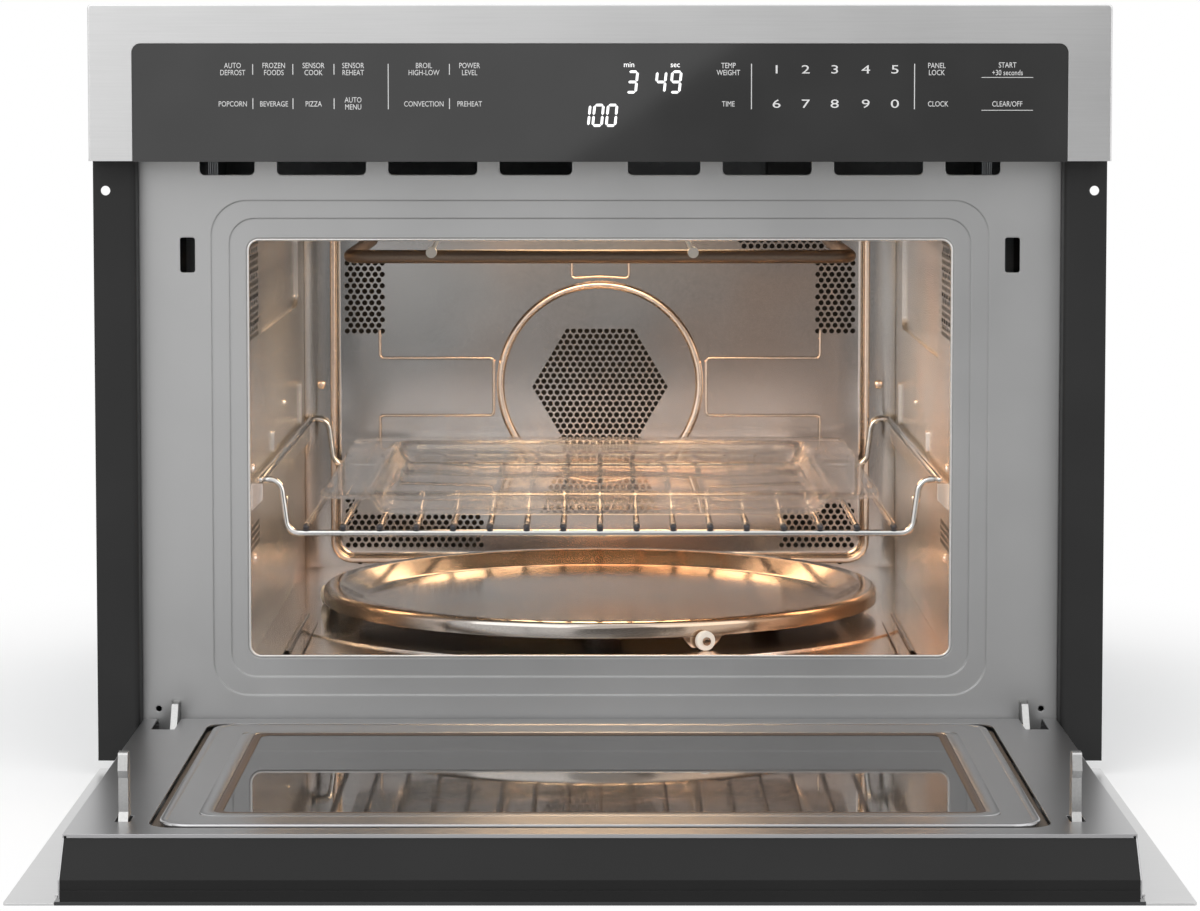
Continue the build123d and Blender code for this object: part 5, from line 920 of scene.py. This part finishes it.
def window_edging():
    """Rings on the open door: the plate's rolled rim, its lip at the window, and the gasket.

    Each section goes up its inner side, over the top and down its outer side. An outline is
    its half width, its near and far edges from the hinge's line, and its corner radius.
    """
    hinge_depth, foot = -6.2, 33.0
    rim = (225.4, 15.1, 310.7, 16.4), (221.0, 19.4, 306.4, 12.0), 34.3
    lip = (207.2, 41.0, 288.4, 13.0), (199.8, 44.2, 280.6, 8.0), 34.2
    rubber = (199.9, 44.1, 280.7, 8.0), (195.2, 48.9, 276.2, 5.0), 34.0
    for name, finish, (outer, inner, top), slot in (
        ("plate_rim", door_steel, rim, "door_panel_steel"),
        ("window_lip", door_steel, lip, "door_panel_steel"),
        ("window_gasket", gasket, rubber, "brown_seal"),
    ):
        # outline, how far inside it, height
        section = (
            (inner, 0.0, foot), (inner, 0.0, top - 0.5), (inner, -0.6, top),
            (outer, 0.4, top), (outer, 0.0, top - 0.3), (outer, 0.0, foot),
        )
        rings = []
        for (half, near, far, corner), inset, height in section:
            ring = rounded_rectangle(half - inset, (far - near) / 2 - inset, corner - inset, 8)
            rings.append(level(ring * (1, -1), hinge_depth - (near + far) / 2, height))
        new_piece(name, *layered(rings, False, False), finish, "door")


def baking_dish():
    """Pressed glass: rounded rectangle rings under the bowl, round the flange and back inside."""
    # half width, half length, corner radius, height
    under = [
        (60.0, 70.0, 8.0, 143.9), (130.0, 146.5, 12.0, 143.9), (135.0, 151.5, 15.4, 144.2),
        (137.4, 153.9, 17.6, 145.8), (142.4, 158.9, 21.6, 154.6), (143.8, 160.3, 22.6, 156.4),
        (146.0, 162.5, 24.0, 157.0),
    ]
    turn = np.linspace(-0.42 * pi, 0.5 * pi, 9)
    out = 1.6 * np.cos(turn)
    rim = list(zip(169.4 + out, 180.9 + out, 19.0 + np.cos(turn), 158.5 + 1.5 * np.sin(turn)))
    inside = [
        (146.0, 162.5, 24.0, 160.0), (143.4, 159.9, 22.8, 160.0), (142.0, 158.5, 22.0, 159.6),
        (140.6, 157.1, 21.0, 158.6), (139.6, 156.1, 20.4, 156.0), (136.6, 153.1, 17.0, 149.6),
        (134.4, 150.9, 15.0, 147.9), (130.0, 146.5, 12.0, 147.0), (60.0, 70.0, 8.0, 146.8),
    ]
    rings = []
    for half_x, half_y, radius, height in under + rim + inside:
        rings.append(level(rounded_rectangle(half_x, half_y, radius), 242.5, height))
    dish = new_piece("baking_dish", *layered(rings), dish_glass, "dish", "glass_dish")


cavity_back_wall()
cavity_back_beads()
back_wall_studs()
mouth_edge()
cavity_floor_beads()
panel_print()
turntable()
wire_rack()
grill_tube()
window_edging()
baking_dish()


def lamp(name, place, target, size, power, colour=(1.0, 1.0, 1.0), shape="RECTANGLE"):
    """A soft flat light that faces its target; size is its width and its height."""
    data = bpy.data.lights.new(name, "AREA")
    data.shape = shape
    data.size, data.size_y = size
    data.energy = power
    data.color = colour
    light = bpy.data.objects.new(name, data)
    bpy.context.collection.objects.link(light)
    light.location = place
    light.rotation_euler = (Vector(target) - Vector(place)).to_track_quat("-Z", "Y").to_euler()


def studio_world():
    """White room: full white where seen straight, in gloss and through glass, softer as light."""
    world = bpy.data.worlds.new("studio_world")
    bpy.context.scene.world = world
    world.use_nodes = True
    room = Nodes(world.node_tree)
    ray = room.rays()
    seen = ray["Is Camera Ray"].most(ray["Is Transmission Ray"]).most(ray["Is Glossy Ray"])
    sky = room.tree.nodes["Background"]
    room.put(sky.inputs["Color"], WHITE)
    room.put(sky.inputs["Strength"], ROOM_LIGHT + seen * (1.0 - ROOM_LIGHT))


def studio_sheet(name, points, finish):
    """A flat sheet of the studio: one face round its points."""
    mesh = bpy.data.meshes.new(name)
    mesh.from_pydata(np.asarray(points).tolist(), [], [list(range(len(points)))])
    mesh.materials.append(finish.material)
    sheet = bpy.data.objects.new(name, mesh)
    bpy.context.collection.objects.link(sheet)
    return sheet


def studio_floor():
    """A round pale floor whose edge fades out into the white room, keeping the shadow."""
    finish = Finish("studio_floor", (0.95, 0.95, 0.95), 0.7)
    clouds = finish.noise(2.0, 2.0)
    finish.feed("Base Color", finish.blend(clouds, (0.94, 0.94, 0.94), (0.96, 0.96, 0.96)))
    across, along, _ = finish.place()
    gone = finish.node("ShaderNodeBsdfTransparent", {}, {})[0]
    seen = finish.rays()["Is Camera Ray"]
    beyond = finish.node("ShaderNodeMixShader", {}, {0: seen, 1: gone, 2: finish.glow(WHITE)})[0]
    near = Signal(finish, finish.shader.outputs[0])
    faded = across.reach(along).step(260.0, 660.0)
    finish.show(finish.node("ShaderNodeMixShader", {}, {0: faded, 1: near, 2: beyond})[0])
    rim = np.column_stack([circle(FLOOR_RADIUS, 96), np.full(96, -0.5 * MM)])
    studio_sheet("studio_floor", rim, finish)


def shaded_wall():
    """A grey card behind the camera; only gloss shows it, as a slant across the panel's glass."""
    finish = Finish("shaded_wall", (0.2, 0.2, 0.2), 0.8)
    finish.show(finish.glow((0.2, 0.2, 0.2, 1.0)))
    # the slanted edge passes two points, in metres across and up, and runs on beyond them
    low, high = np.array((-0.052, 0.267)), np.array((0.232, 0.467))
    run = (high - low) * 4
    corners = [low - run, high + run, (3.0, 1.3), (3.0, -0.6)]
    card = studio_sheet("shaded_wall", np.insert(corners, 1, -4.5, axis=1), finish)
    for sense in ("camera", "diffuse", "shadow", "transmission"):
        setattr(card, "visible_" + sense, False)


studio_world()
studio_floor()
shaded_wall()
oven_middle = (0.0, back(100), 0.2)
lamp("key_light", (-1.6, back(-2300), 1.9), oven_middle, (2.6, 2.6), 34.0)
lamp("fill_light", (1.9, back(-1900), 1.3), oven_middle, (2.2, 2.2), 18.0)
lamp("top_light", (0.0, back(100), 2.6), (0.0, back(0), 0.2), (3.4, 3.4), 26.0)
bulb, pan_middle, bulb_colour = (0.0, back(230), 0.3245), (0.0, back(235), 0.1), (1.0, 0.70, 0.42)
lamp("oven_light", bulb, pan_middle, (0.22, 0.12), 0.9, bulb_colour, "ELLIPSE")

# Camera, at the photograph's viewing angle
camera_data = bpy.data.cameras.new("camera")
camera_data.sensor_width = 36.0
camera_data.lens = 111.69
camera_data.shift_y = -0.1
camera_data.clip_start = 0.05
camera = bpy.data.objects.new("camera", camera_data)
bpy.context.collection.objects.link(camera)
camera.location = (0.0, back(-2185.22), 0.41388)
camera.rotation_euler = (radians(90.0 - 4.0), 0.0, 0.0)
bpy.context.scene.camera = camera

bpy.context.scene.view_settings.view_transform = "Standard"
